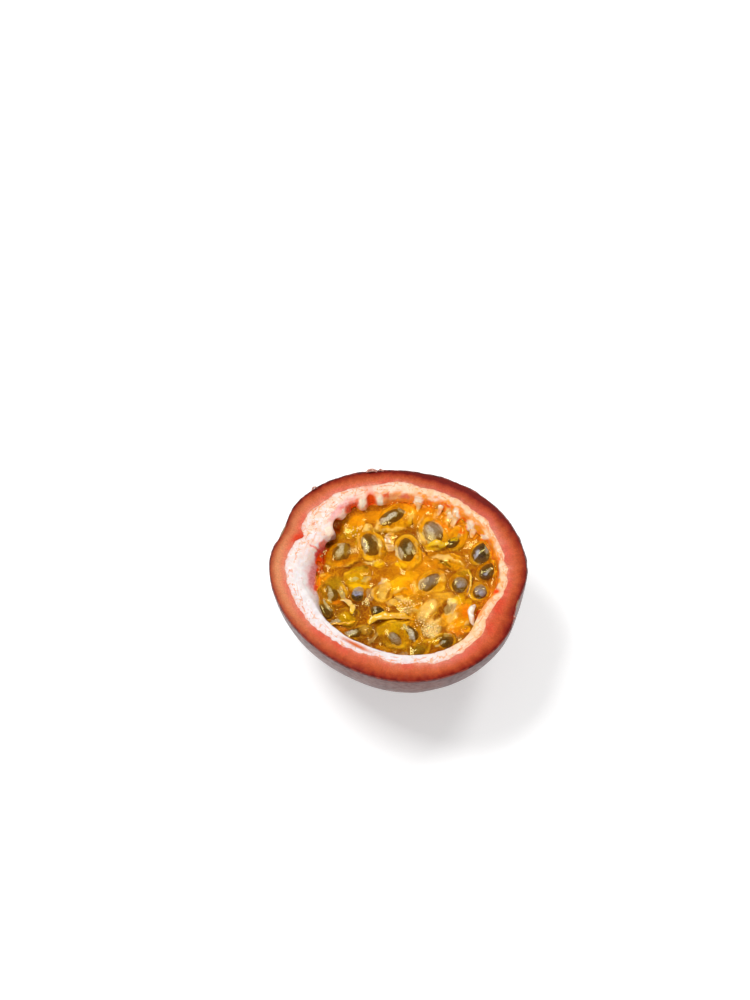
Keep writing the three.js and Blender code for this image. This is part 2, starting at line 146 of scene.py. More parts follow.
# Patches of colour on the pulp and its seeds: x, y, length, width, turn, strength, tint. The brown ones are
# painted shade in creases and under flaps, and the film and haze ones are cloudy skin with a painted
# reflection on it.
PATCHES = (
    (9.5, 13.6, 19, 6, -32, 0.8, "gold"), (-4.5, 16.6, 9, 3.2, 14, 0.8, "gold"),
    (4, 2, 16, 12, 10, 0.6, "gold"), (13.5, -9, 9, 8, 60, 0.7, "gold"),
    (-13, -7.5, 12, 9, -50, 0.8, "tawny"), (-5, -13.5, 12, 5, -20, 0.8, "tawny"),
    (7, -17, 12, 3.6, 20, 0.7, "tawny"), (17, 3.5, 7, 9, 30, 0.55, "tawny"),
    (-13.5, 6.5, 9, 8, 20, 0.55, "tawny"), (-2.3, 15.4, 5.4, 1.3, 27, 0.85, "film"),
    (0.9, 17.4, 2, 0.9, -40, 0.6, "film"), (-1.6, 12.8, 5, 0.8, 5, 0.55, "cream"),
    (2.8, 14.9, 2.4, 1.6, 80, 0.5, "glow"), (3.4, 14.8, 3.8, 0.5, 92, 0.9, "brown_shade"),
    (-9.2, 15.2, 4.6, 2.6, 0, 0.8, "gold"), (-7.2, 13.2, 2.2, 1.2, 20, 0.7, "cream"),
    (-5, 13, 1.4, 1.2, 0, 0.7, "cream"), (-10.8, 12.2, 3.6, 2.2, -20, 0.6, "olive"),
    # The maroon patch in the pulled-away hole here is red stain with painted shade.
    (-12.6, 13.4, 1.4, 3.2, 0, 0.8, "tawny"), (-14.2, 13.4, 2.6, 3.4, 10, 1, "maroon"),
    (-7.6, 8.4, 4.4, 1.4, 98, 0.85, "film"), (-4.7, 9.7, 3.8, 1.1, 122, 0.7, "film"),
    (-6.3, 4.7, 3.2, 1.1, -5, 0.8, "cream"), (-4.3, 4.2, 2.6, 1.3, 10, 0.9, "glow"),
    (-2.8, 8.2, 4, 0.55, 92, 0.9, "brown_shade"), (-9.3, 10.8, 3.2, 0.8, 75, 0.6, "glow"),
    (-11.7, 5.5, 6.8, 2.6, 25, 0.5, "amber"), (-11.2, 7.3, 3, 2.6, 0, 0.5, "olive"),
    (-13.2, 6.7, 3.8, 1.4, 72, 0.85, "film"), (-12.8, 8.5, 1.8, 0.8, 0, 0.6, "film"),
    (-9.4, 8.1, 2, 0.7, 110, 0.6, "cream"), (-10.5, 3.8, 5.8, 0.65, 28, 1, "brown_shade"),
    (-15.7, 8.2, 3.8, 0.7, 78, 0.7, "brown_shade"), (-17.1, 6, 5.6, 2.2, 76, 0.9, "crimson"),
    (-8.7, 3, 4.4, 1.6, 10, 0.8, "olive"), (-7.4, 3.5, 1.6, 1, 0, 0.5, "dark"),
    (-8.5, -1.2, 5.4, 1.1, -3, 0.9, "glow"), (-9.9, 0.3, 2.2, 1, -10, 0.7, "film"),
    (-7, 0.5, 2.2, 1.1, 15, 0.6, "film"), (-3.6, -0.2, 2.4, 1.2, 35, 0.65, "film"),
    (-6.2, -3.2, 3.2, 1.8, 100, 0.5, "film"), (-3.4, -3.2, 3.2, 2.6, 80, 0.55, "cream"),
    (-0.9, -1, 5, 4, 30, 0.6, "glow"), (2.2, 1.2, 5.4, 2.4, 10, 0.5, "glow"),
    (-3, -0.9, 2.2, 3.4, 20, 0.55, "beige"), (0.4, -2.4, 3.2, 1, 30, 0.6, "beige"),
    (3.6, -1.6, 1.2, 3, 10, 0.5, "beige"), (1.2, -4.6, 4, 1.2, -10, 0.7, "beige"),
    (2.6, -7.4, 4.2, 1.6, 10, 0.8, "beige"), (-1.4, -5.4, 2.2, 1.6, 40, 0.6, "beige"),
    (-0.2, 0.9, 3.4, 0.7, 12, 0.5, "tawny"), (1.9, -3.6, 4.4, 0.6, 6, 0.5, "tawny"),
    (4.6, -4.4, 3, 0.9, 60, 0.6, "tawny"), (-2.2, -3.6, 2.6, 0.5, 70, 0.6, "tawny"),
    (1.7, -5.7, 4.2, 3, 0, 0.35, "cream"), (-8.1, -5.3, 5, 3.2, -20, 0.8, "brown_shade"),
    (-8.9, -2.6, 3, 2.2, 0, 0.8, "sheen_haze"), (-13.9, -0.6, 4.2, 2.4, 60, 0.7, "olive"),
    (-15.2, -3.5, 3.8, 1.2, 97, 0.85, "film"), (-12.3, -3.5, 3, 1.1, 128, 0.8, "film"),
    (-18.2, -1, 4, 1.4, 70, 0.8, "gold"), (-15.9, -6.2, 3.4, 1, 125, 0.75, "film"),
    (-17.9, -5.2, 1.8, 0.8, 95, 0.6, "film"), (-16.8, -9.6, 3.2, 1.4, -40, 0.7, "brown_shade"),
    (-14, -10.1, 2.4, 1.4, 15, 0.8, "film"), (-11.4, -9.5, 3.8, 2.8, -30, 0.85, "lemon"),
    (-10.3, -12.9, 3, 1.3, 12, 0.75, "film"), (-7.3, -12.2, 2.8, 1.4, -20, 0.45, "cream"),
    (-9.2, -15.3, 5.4, 1.7, -27, 0.8, "brown_shade"), (-5.6, -14.4, 4.2, 1, 60, 0.55, "cream"),
    (-5.2, -7, 1.8, 0.6, 90, 0.6, "film"), (-2.2, -11.9, 5, 3, 10, 0.7, "lemon"),
    (-0.8, -14.4, 3, 2, -35, 0.75, "sheen_haze"), (2.5, -13, 4.2, 1.5, 125, 0.85, "film"),
    (4.9, -17.1, 3.6, 2.2, 20, 0.65, "olive"), (1.1, -17.9, 2.8, 0.9, -5, 0.5, "film"),
    (9.4, -15.6, 2.6, 0.8, 30, 0.7, "film"), (11, -13.7, 2.2, 0.7, 0, 0.5, "film"),
    (6.9, -6.9, 5.2, 3, 40, 0.85, "beige"), (5.6, -9, 3.2, 2.6, 70, 0.85, "beige"),
    (8.2, -9.9, 3.4, 2.4, 35, 0.8, "beige"), (12.2, -9.2, 3.6, 2.6, 50, 0.7, "beige"),
    (11.6, -6.6, 4.6, 2.4, 62, 0.65, "film"), (12.4, -6.2, 2.4, 1.4, 62, 0.5, "sheen_haze"),
    (9.4, -7.7, 5.6, 1.3, 58, 1, "moss"), (10.6, -5.8, 1.8, 0.6, 62, 0.8, "brown_shade"),
    (13.6, -4.6, 3.4, 2.2, 40, 0.7, "lemon"), (7.3, -12.2, 4.6, 3.8, 0, 0.9, "cream"),
    (5.8, -1, 3.4, 1.3, 55, 0.8, "film"), (9.6, 0.6, 2.4, 1.6, 60, 0.5, "cream"),
    (7.2, 11.5, 5, 2.6, 110, 0.85, "film"), (9.4, 13, 3.2, 0.9, 115, 0.6, "sheen_haze"),
    (8.5, 8.5, 3.8, 1.7, -10, 0.95, "glow"), (13, 10.5, 2.6, 1.3, 40, 0.9, "lemon"),
    (14.1, 11.2, 1.6, 0.8, 60, 0.6, "sheen_haze"), (5.8, 8.5, 6.4, 0.65, 122, 1, "brown_shade"),
    (10.8, 4.3, 3.4, 0.9, -12, 0.85, "dark"), (20.4, 7.2, 2.8, 1.2, 70, 0.75, "sheen_haze"),
    (17.6, 6, 2.2, 0.9, 62, 0.75, "film"), (20.4, 1.9, 3, 0.8, 38, 0.6, "film"),
    (18.5, -2.6, 2.8, 2.6, 0, 0.8, "sheen_haze"), (14.1, -0.7, 3, 2.8, 0, 0.75, "sheen_haze"),
    (14.6, 1.9, 3.2, 1.4, 10, 0.7, "olive"), (15.9, -2.7, 2.8, 0.6, 95, 0.5, "sheen_haze"),
    (0.2, 7, 4, 1.5, 105, 0.8, "film"), (2.6, 7.5, 3.4, 1.2, 80, 0.6, "film"),
    (0.9, 4, 3.2, 1.2, 0, 0.9, "glow"), (-1.4, -10.4, 8, 0.7, 4, 0.7, "brown_shade"),
    (15.6, -6, 3, 1.6, 70, 0.6, "glow"), (14.6, -10.4, 3.6, 2.4, 50, 0.6, "glow"),
    (12.6, -12.4, 3.4, 1.8, 30, 0.7, "orange"), (15, -7.6, 1.2, 4.4, -10, 0.7, "orange"),
    (10.4, 5.6, 6, 1.6, -8, 0.9, "beige"), (13.6, 4.6, 3, 0.8, -30, 0.7, "butter"),
    (12.6, 7.2, 3.6, 0.6, 14, 0.8, "brown_shade"), (11.6, 2.4, 6.4, 0.8, -14, 0.9, "tawny"),
    (8.8, 16.4, 3.4, 1.2, 62, 0.7, "butter"), (11.2, 15.4, 3, 1.1, 78, 0.8, "butter"),
    (5.4, 15.2, 2.8, 0.8, 70, 0.6, "butter"), (6.8, 17, 1.2, 0.9, 0, 0.8, "blush"),
    (14.6, 12.6, 2.2, 1.6, 70, 0.7, "ember"), (10.2, 14, 5.6, 1.2, -30, 0.6, "orange"),
    (18.2, -8.4, 2.4, 1.8, 80, 0.95, "ember"), (8.6, 12.8, 4.6, 2.6, 115, 0.5, "sheen_haze"),
    (7.4, -0.4, 4.8, 2.2, 48, 0.45, "sheen_haze"), (-17.6, 2.6, 2.6, 1.6, 80, 0.9, "crimson"),
    (-6, -12, 2.8, 1.5, 60, 0.8, "brown_shade"), (-13, -5.6, 2.6, 1.4, -30, 0.6, "amber"),
    (13.2, -10.9, 4.8, 2.6, 40, 0.8, "gold"), (15.4, -10.6, 2.2, 1.1, 50, 0.7, "beige"),
    (14, -13, 2.6, 1, 35, 0.7, "orange"), (11.8, -11.6, 1.8, 1.2, 20, 0.6, "beige"),
    (-18.6, -4.2, 2.4, 1.2, 70, 0.7, "orange"), (-17.6, 0.4, 3.2, 1.4, 70, 0.7, "orange"),
    (-16, 0.9, 3.2, 2, 60, 0.8, "gold"), (-17, 1.5, 1.6, 0.9, 20, 0.6, "butter"),
    (-4.2, 8.6, 4.6, 1.1, 98, 0.6, "cream"), (4.1, 7.6, 4.4, 1.3, 92, 0.6, "cream"),
    (-8.7, 9.6, 4.2, 0.9, 102, 0.6, "butter"), (3, 16.2, 2.6, 2, 60, 0.5, "cream"),
    (5.5, 10.8, 3.4, 1.6, 116, 0.7, "cream"), (-4.6, 14.6, 2.6, 1.2, 60, 0.6, "butter"),
    (-13.6, 4, 3, 1, 25, 0.6, "gold"), (0, 12.6, 3.4, 0.9, 10, 0.6, "butter"),
    (-10, 12.8, 3.2, 1.4, 15, 0.6, "lemon"), (-12, 11, 2.6, 1.6, -10, 0.6, "olive"),
    (-6.8, 13.5, 2.2, 1.5, 20, 0.7, "beige"), (-4.5, 13.2, 1.7, 1.3, -10, 0.7, "beige"),
    (-13.6, -5.2, 2.2, 1.2, 20, 0.6, "orange"), (-7, -9.8, 3, 1.4, 30, 0.7, "amber"),
    (-12.4, -11.6, 2.8, 1, -25, 0.6, "orange"), (-3.4, -16.4, 3.4, 1, -10, 0.6, "gold"),
)
PATCH_SWAY = 0.35                         # how far a patch's edge strays
PATCH_FRAY = 0.24                         # how far it frays on top of that

# Patches of colour on the pith and down its inner wall. The plan is slanted: a patch moves this
# far in y for each millimetre it lies below the cut face.
SLANT = 0.487
PITH_PATCHES = (
    (0.8, 18.6, 7.6, 1.8, 0, 0.95, "orange"), (-6.3, 18.1, 4.4, 1.6, 88, 1, "ember"),
    (-6.3, 19.2, 1.6, 1.3, 88, 0.8, "red"), (-6.3, 16.2, 2, 1.6, 90, 0.9, "orange"),
    (-10.4, 17.3, 4.2, 1.9, 52, 0.95, "ember"), (-11.6, 18.4, 5.6, 1.7, 40, 0.6, "pink"),
    (-13.8, 15.8, 5.6, 1.5, 52, 0.75, "pink"), (-11.6, 17.6, 3.6, 0.9, 42, 0.75, "rose"),
    (-2.5, 20.3, 2, 1.5, 60, 0.8, "ember"), (1.3, 20.1, 2.4, 1.6, 10, 0.75, "rose"),
    (5.8, 19.9, 2.6, 0.9, -8, 0.9, "orange"), (6.9, 17.8, 2.2, 2.2, 0, 0.95, "deep"),
    (8.7, 19.4, 2.8, 1.7, -20, 0.7, "blush"), (8.6, 19.6, 1.2, 0.8, -20, 0.8, "orange"),
    (11.2, 17.7, 1.6, 1.3, -30, 0.8, "ember"), (13.9, 16.4, 3, 1.7, -35, 0.95, "orange"),
    (14.7, 13.1, 3, 2.2, 70, 1, "ember"), (17.9, 13.4, 5.4, 1.1, -45, 0.9, "orange"),
    (20.9, 9.6, 4.4, 1, -62, 0.75, "orange"), (10.2, 16.5, 2.6, 0.8, 70, 0.8, "deep"),
    (17.4, 10.4, 2.4, 1.2, -60, 0.85, "deep"), (-8.3, 17.9, 3.2, 1.9, 84, 1, "white"),
    (-4.1, 18.8, 2.8, 1.9, 92, 1, "white"), (4.7, 18.7, 2.6, 1.9, 98, 0.95, "white"),
    (4.7, 16.9, 1.8, 0.8, 92, 0.9, "butter"), (6.7, 16.7, 1.1, 0.8, 0, 0.85, "white"),
    (8.9, 16.2, 3, 1.2, 60, 0.7, "butter"), (11.2, 15.6, 3.2, 1.2, 76, 0.9, "butter"),
    (13, 14.8, 4.4, 1.8, 80, 1, "white"), (16.4, 12.2, 3.8, 1.8, 98, 1, "white"),
    (19.4, 9.5, 1.8, 1.3, 140, 0.85, "white"), (-12.7, 14.9, 2.6, 1.8, 20, 0.7, "blush"),
    # Below the white lump here, dark red-brown is painted in the hollow: red stain with painted shade.
    (-15.4, 11.2, 2.6, 1.9, 70, 0.8, "white"), (-14.6, 9, 3, 1.6, 60, 0.85, "shaded_red"),
    (-18.6, 6.9, 3.6, 0.7, -32, 0.85, "rose"), (-17.2, 5.2, 6.4, 2.6, 76, 1, "crimson"),
    (-16.8, 8, 2.4, 1.4, 60, 0.8, "rose"), (-19, -0.2, 5.4, 2.4, 78, 0.75, "berry"),
    (-18.4, -3, 2.4, 1.5, 70, 0.9, "ember"), (18.7, -8.8, 4.8, 1.3, 66, 0.8, "orange"),
    (20.5, -6, 2.6, 1, 70, 0.7, "orange"), (16.7, -13.1, 4, 1, 52, 0.6, "butter"),
    (13.6, -16.4, 3.6, 0.9, 38, 0.5, "butter"), (21.9, 0.4, 5, 0.9, 92, 0.6, "orange"),
    (21.6, 5, 3.6, 0.8, 108, 0.6, "orange"),
)

# ---- Shapes of the fruit --------------------------------------------------------------------


def bump(angle, at, width):
    """A rounded rise of height 1 round one angle, in degrees."""
    away = (np.degrees(angle) - at + 180) % 360 - 180
    return np.exp(-((away / width) ** 2))


def bumps(angle, *rises):
    """Rounded rises added up, each as (height, angle, width)."""
    return sum(height * bump(angle, at, width) for height, at, width in rises)


def outline(form, angle, drop=0.0):
    """Radius of one of the cut face's outlines, at an angle and a drop."""
    radius = form["radius"] + 0 * angle
    for times, (rise, peak) in enumerate(form["lobes"], 1):
        radius = radius + rise * np.cos(times * (angle - math.radians(peak)))
    fade = np.exp(-((drop / DENT_REACH) ** 2))
    for at, width, depth in form["dents"]:
        radius = radius - depth * fade * bump(angle, at, width)
    return radius


def lean(angle, drop):
    """How far the thick pith at the stem end and the far side slopes in under its edge."""
    return sum(
        bump(angle, at, width) * slope * reach * (1 - np.exp(-drop / reach))
        for at, width, slope, reach in WALL_LEANS
    )


def noise(points, size, seed):
    """Smooth noise from -1 to 1, with rises about one size across."""
    place = np.asarray(points, float) / size
    cell = np.floor(place).astype(np.int64)
    part = place - cell
    part = part * part * (3 - 2 * part)
    total = np.zeros(place.shape[:-1])
    for corner in np.ndindex(2, 2, 2):
        at = cell + np.array(corner)
        key = at[..., 0] * 73856093 ^ at[..., 1] * 19349663 ^ at[..., 2] * 83492791 ^ seed * 7919
        key = (key ^ key >> 13) * 1274126177 & 0x7FFFFFFF
        key = (key ^ key >> 15) & 0xFFFF
        weight = np.prod(np.where(np.array(corner) == 1, part, 1 - part), axis=-1)
        total += weight * (key / 32767.5 - 1)
    return total


def waver(points, *layers):
    """Layers of noise added up, each as (height, size, seed)."""
    return sum(height * noise(points, size, seed) for height, size, seed in layers)


def step(low, high, value):
    """A smooth climb from 0 at low to 1 at high."""
    share = np.clip((value - low) / (high - low), 0, 1)
    return share * share * (3 - 2 * share)


def flat(x, y):
    """Points of a plan, for noise that changes over x and y."""
    return np.stack([x, y, np.zeros_like(x)], -1)


def on_ring(radius, angle, height):
    return np.stack([radius * np.cos(angle), radius * np.sin(angle), height + 0 * angle], -1)


def spot_reach(x, y, at_x, at_y, length, width, turn):
    """How far out of an oval spot a place lies, squared: 0 in its middle and 1 on its edge."""
    cos, sin = math.cos(math.radians(turn)), math.sin(math.radians(turn))
    along = ((x - at_x) * cos + (y - at_y) * sin) / (length / 2)
    across = ((y - at_y) * cos - (x - at_x) * sin) / (width / 2)
    return along**2 + across**2


def cut_wave(x, y):
    """The knife's slow waver over the cut face."""
    return waver(flat(x, y), *CUT_WAVES)


def ragged(angle):
    """How far the ragged border between red wall and pith strays from its outline."""
    ring = on_ring(BORDER_RING, angle, 0)
    return waver(ring, (0.45, 4.5, 11), (0.24, 1.7, 12), (0.14, 0.8, 13)) - 1.2 * bump(angle, 156, 3)


# ---- Meshes ---------------------------------------------------------------------------------


def make_piece(name, points, faces, material, slot, **values):
    """A mesh object from points in millimetres, with a value or colour a point for its finish."""
    mesh = bpy.data.meshes.new(name)
    mesh.from_pydata((np.asarray(points) * MM).tolist(), [], faces)
    for key, value in values.items():
        kind, field = ("FLOAT", "value") if value.ndim == 1 else ("FLOAT_COLOR", "color")
        layer = mesh.attributes.new(key, kind, "POINT")
        layer.data.foreach_set(field, value.astype(np.float32).ravel())
    build = bmesh.new()
    build.from_mesh(mesh)
    bmesh.ops.recalc_face_normals(build, faces=build.faces)
    build.to_mesh(mesh)
    build.free()
    mesh.polygons.foreach_set("use_smooth", [True] * len(mesh.polygons))
    mesh.materials.append(material)
    piece = bpy.data.objects.new(name, mesh)
    bpy.context.scene.collection.objects.link(piece)
    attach(piece, "root")
    return piece


def loft(rings, first=None, last=None):
    """Points and faces of a skin over closed rings, each end shut by a fan round a point."""
    rows, sides, _ = rings.shape
    index = np.arange(rows * sides).reshape(rows, sides)
    beside = np.roll(index, -1, axis=1)
    points = [rings.reshape(-1, 3)]
    faces = np.stack([index[:-1], beside[:-1], beside[1:], index[1:]], -1).reshape(-1, 4).tolist()
    for ring, pole in ((0, first), (rows - 1, last)):
        if pole is not None:
            tip = rows * sides + len(points) - 1
            points.append(np.asarray(pole, float).reshape(1, 3))
            faces += [[int(a), int(b), tip] for a, b in zip(index[ring], beside[ring])]
    return np.concatenate(points), faces


def disc(cells):
    """An even grid over a round disc: share of the radius and angle at each grid point."""
    line = np.linspace(-1, 1, cells + 1)
    u, v = np.meshgrid(line, line, indexing="ij")
    wide = np.abs(u) > np.abs(v)
    reach = np.where(wide, u, v)
    other = np.where(wide, v, u)
    turn = (math.pi / 4) * other / np.where(reach == 0, 1, reach)
    turn = np.where(wide, turn, math.pi / 2 - turn)
    x, y = reach * np.cos(turn), reach * np.sin(turn)
    return np.hypot(x, y), np.arctan2(y, x)


def disc_solid(top, below):
    """Points and faces of a solid under a grid: its top, then its rim let down in steps."""
    rows, columns, _ = top.shape
    index = np.arange(rows * columns).reshape(rows, columns)
    quads = np.stack([index[:-1, :-1], index[1:, :-1], index[1:, 1:], index[:-1, 1:]], -1)
    faces = quads.reshape(-1, 4).tolist()
    rim = np.concatenate([index[:-1, 0], index[-1, :-1], index[:0:-1, -1], index[0, :0:-1]])
    points = [top.reshape(-1, 3)]
    above = rim
    count = index.size
    for shrink, drop in below:
        points.append(points[0][rim] * (shrink, shrink, 0) + (0, 0, CUT - drop))
        here = count + np.arange(len(rim))
        count += len(rim)
        faces += np.stack([above, np.roll(above, -1), np.roll(here, -1), here], -1).tolist()
        above = here
    points.append(np.array([[0, 0, CUT - below[-1][1]]]))
    faces += [[int(a), int(b), count] for a, b in zip(above, np.roll(above, -1))]
    return np.concatenate(points), faces


# ---- Colours --------------------------------------------------------------------------------


def colour(red, green, blue):
    """A colour by its 0 to 255 screen values, as the shader's linear one."""
    shares = (value / 255 for value in (red, green, blue))
    return (*(s / 12.92 if s <= 0.04045 else ((s + 0.055) / 1.055) ** 2.4 for s in shares), 1.0)


# ---- The pulp's surface ---------------------------------------------------------------------

BLEND = 0.38                              # how softly one sac's skin runs into the next

# Tint of the gel, and of the flesh under it.
TINTS = {
    "amber": (colour(252, 236, 132), colour(214, 158, 16)),
    "yellow": (colour(252, 242, 116), colour(206, 168, 4)),
    "olive": (colour(236, 230, 124), colour(164, 126, 6)),
    "cloudy": (colour(250, 238, 156), colour(218, 170, 52)),
    "milky": (colour(252, 240, 196), colour(224, 182, 92)),
    "bright": (colour(254, 242, 116), colour(244, 184, 0)),
    "orange": (colour(252, 226, 116), colour(220, 130, 4)),
    "juice": (colour(252, 230, 116), colour(160, 88, 0)),
}
JUICE_REACH = 1.2                         # the juice counts as just outside a sac
CLING_REACH = 0.9                         # how near the far wall juice and torn sacs climb it
SOAK_REACH = 1.4                          # how near the far wall orange juice soaks the flesh
JUICE_COLOUR = (0.93, 0.80, 0.10, 1.0)    # what is left of the light that crosses the gel
JUICE_DENSITY = 600.0                     # how fast the gel deepens in colour, a metre


def sac_heights(x, y):
    """Each sac's height, its reach, which is 1 at its outline, and its tint, over a plan."""
    plan = flat(x, y)
    x = x + waver(plan, (SAC_SWAY, 2.6, 26), (SAC_FRAY, 1.1, 27))
    y = y + waver(plan, (SAC_SWAY, 2.6, 28), (SAC_FRAY, 1.1, 29))
    for at_x, at_y, length, width, turn, drop, slope_x, slope_y, tint in SACS:
        reach = spot_reach(x, y, at_x, at_y, length, width, turn)
        dome = np.clip(1 - reach**1.2, 0, 1) ** 0.62 - 1.2 * np.clip(reach - 1, 0, 3)
        height = CUT - drop - SAC_HEIGHT * (1 - dome)
        yield height + slope_x * (x - at_x) + slope_y * (y - at_y), reach, tint


def pulp_surface(x, y):
    """Height of the wet surface, the reach of the sacs there, and the two tints, over a plan."""
    plan = flat(x, y)
    juice = CUT - PULP_DROP + waver(plan, (0.35, 4.5, 21), (0.12, 1.6, 22))
    levels, reaches, tints = zip((juice, np.full_like(x, JUICE_REACH), "juice"), *sac_heights(x, y))
    heights = np.stack(levels)
    top = heights.max(axis=0)
    pull = np.exp((heights - top) / BLEND)
    share = pull / pull.sum(axis=0)
    reach = (share * np.stack(reaches)).sum(axis=0)
    layers = [np.einsum("i...,ij->...j", share, [TINTS[tint][i] for tint in tints]) for i in (0, 1)]
    folds = step(0.5, 1.1, reach)
    surface = top + BLEND * np.log(pull.sum(axis=0)) + 0.08 * noise(plan, 2.1, 23)
    surface += (0.012 + 0.016 * folds) * noise(plan, 0.9, 24) + wall_cling(x, y)
    return surface - hollow_depth(x, y), reach, layers


def far_wall(x, y, reach):
    """How near a spot is to the pith at the far side: 1 at the pith, falling off over a reach."""
    angle, radius = np.arctan2(y, x), np.hypot(x, y)
    near = np.exp(-np.clip(cavity_radius(angle, PULP_DROP) - radius, 0, 30) / reach)
    return near * np.clip(bumps(angle, (1, 62, 58), (0.7, 0, 30)), 0, 1)


def wall_cling(x, y):
    """How far juice and torn sacs climb the far wall."""
    ring = on_ring(WALL_RING, np.arctan2(y, x), 0)
    return far_wall(x, y, CLING_REACH) * (0.95 + 0.5 * noise(ring, 1.5, 25))


# Tints of the patches on the pulp, the seeds and the pith.
PATCH_TINTS = {
    # The film and haze tints are cloudy sac skin with a painted reflection of the softboxes on the wet gel
    # over it.
    "film": colour(206, 206, 220),
    "sheen_haze": colour(158, 158, 196),
    "cream": colour(250, 222, 160),
    "glow": colour(255, 214, 6),
    "lemon": colour(240, 206, 6),
    "olive": colour(172, 142, 18),
    "gold": colour(238, 168, 2),
    "amber": colour(196, 116, 0),
    "tawny": colour(150, 82, 0),
    "beige": colour(244, 206, 138),
    # Dark red in the hole where the pulp has pulled away from the pith: red stain with painted shade.
    "maroon": colour(184, 44, 0),
    # Painted shade: dark brown in the creases between sacs and under the torn skins and bands.
    "brown_shade": colour(112, 50, 0),
    "moss": colour(140, 74, 8),
    "dark": colour(50, 32, 8),
    "crimson": colour(204, 18, 8),
    "white": colour(255, 234, 208),
    "butter": colour(252, 206, 124),
    "blush": colour(250, 206, 190),
    "pink": colour(242, 160, 160),
    "rose": colour(240, 108, 88),
    "berry": colour(216, 116, 112),
    "orange": colour(255, 142, 24),
    "deep": colour(250, 116, 8),
    "ember": colour(232, 66, 10),
    "red": colour(206, 40, 10),
    # Dark red-brown in the hollow under the pith's rounded end: red stain with painted shade.
    "shaded_red": colour(132, 44, 6),
}
# Patches of cloudy sac skin that carry a painted reflection of the softboxes.
SHEEN_FILMS = ("film", "sheen_haze")
TORN_FILMS = ("cream", "beige", "butter")
SEED_PATCH_KINDS = SHEEN_FILMS + ("cream", "lemon", "olive", "dark")
SOFT_EDGE = (1.5, 0.35)                   # where a patch has faded out, and where it is full
SHARP_EDGE = (1.2, 0.75)                   # the edge of a film, cloudy skin with a painted reflection on it, is sharper, and so is any patch on a seed


def painted(x, y, rows, kinds=None, edge=SOFT_EDGE):
    """The tint of the patches over a plan, and how much of each spot they cover."""
    plan = flat(x, y)
    x = x + waver(plan, (PATCH_SWAY, 1.3, 66), (PATCH_FRAY, 0.45, 68))
    y = y + waver(plan, (PATCH_SWAY, 1.3, 67), (PATCH_FRAY, 0.45, 69))
    paint, cover = np.ones(x.shape + (4,)), np.zeros_like(x)
    for *spot, strength, kind in rows:
        if kinds is None or kind in kinds:
            ends = SHARP_EDGE if kind in SHEEN_FILMS else edge
            share = strength * step(*ends, spot_reach(x, y, *spot))
            cover = share + cover * (1 - share)
            hold = share / np.maximum(cover, 1e-6)
            paint = paint + hold[..., None] * (np.array(PATCH_TINTS[kind]) - paint)
    return paint, cover


# Places where the pulp has pulled away: x, y, width, depth.
HOLLOWS = (
    (-14, 13.4, 2.4, 1.3), (-15.4, 9.8, 1.8, 1.1), (-17, 5.6, 2.2, 1.4), (-17.6, 2.9, 2, 1.1),
    (-8.8, -5.6, 3.2, 0.6), (-4, -10.4, 3, 0.5), (12.4, 2.6, 2.4, 0.4), (-5.4, -14.4, 2.6, 0.6),
)


def hollow_depth(x, y):
    """How far the pulp has sunk at each place of a plan."""
    total = np.zeros_like(x)
    for at_x, at_y, width, depth in HOLLOWS:
        total = np.maximum(total, depth * np.exp(-spot_reach(x, y, at_x, at_y, width, width, 0)))
    return total


def cavity_radius(angle, drop):
    """The pith's inner wall, before its fingers and pockets."""
    share = np.sqrt(np.clip(1 - (drop / CAVITY_DEPTH) ** 2, 0, 1))
    return share * (outline(CAVITY, angle, drop) - lean(angle, drop))


# ---- Pieces ---------------------------------------------------------------------------------

SIDES = 480                               # points round the skin and the wall
SKIN_ROWS = 96                            # rings from the bottom of the skin to the cut
LINING_ROWS = 10                          # rings down the inside of the skin
LIP_RISE = 0.04                           # the cut edge of the skin is a little rounded
EDGE_FADE = 0.5                           # how deep under the cut the skin's edge is nicked and red


def round_angles(sides):
    return np.linspace(-math.pi, math.pi, sides, endpoint=False)


def waved_ring(radius, angle, drop):
    """A ring below the cut face that takes up the face's waver, less the deeper it lies."""
    ring = on_ring(radius, angle, CUT - drop)
    ring[:, 2] += math.exp(-drop / WAVE_REACH) * cut_wave(ring[:, 0], ring[:, 1])
    return ring


def bowl(form, depth, inset, turns, angle, swell=None):
    """Rings of a bowl; a turn is 0 at the bottom and a right angle at the cut."""
    rings = []
    for turn in turns:
        drop = depth * math.cos(turn)
        radius = math.sin(turn) * (outline(form, angle, drop) - inset) + (swell(turn) if swell else 0)
        ring = waved_ring(radius, angle, drop)
        ring[:, 2] = np.maximum(ring[:, 2], 0)
        rings.append(ring)
    return rings


def turns_to_cut(rows):
    """Turns from just off the bottom to the cut, closer together near the cut."""
    share = np.linspace(0.03, 1, rows)
    return (math.pi / 2) * (1 - 0.98 * (1 - share) ** 1.15)


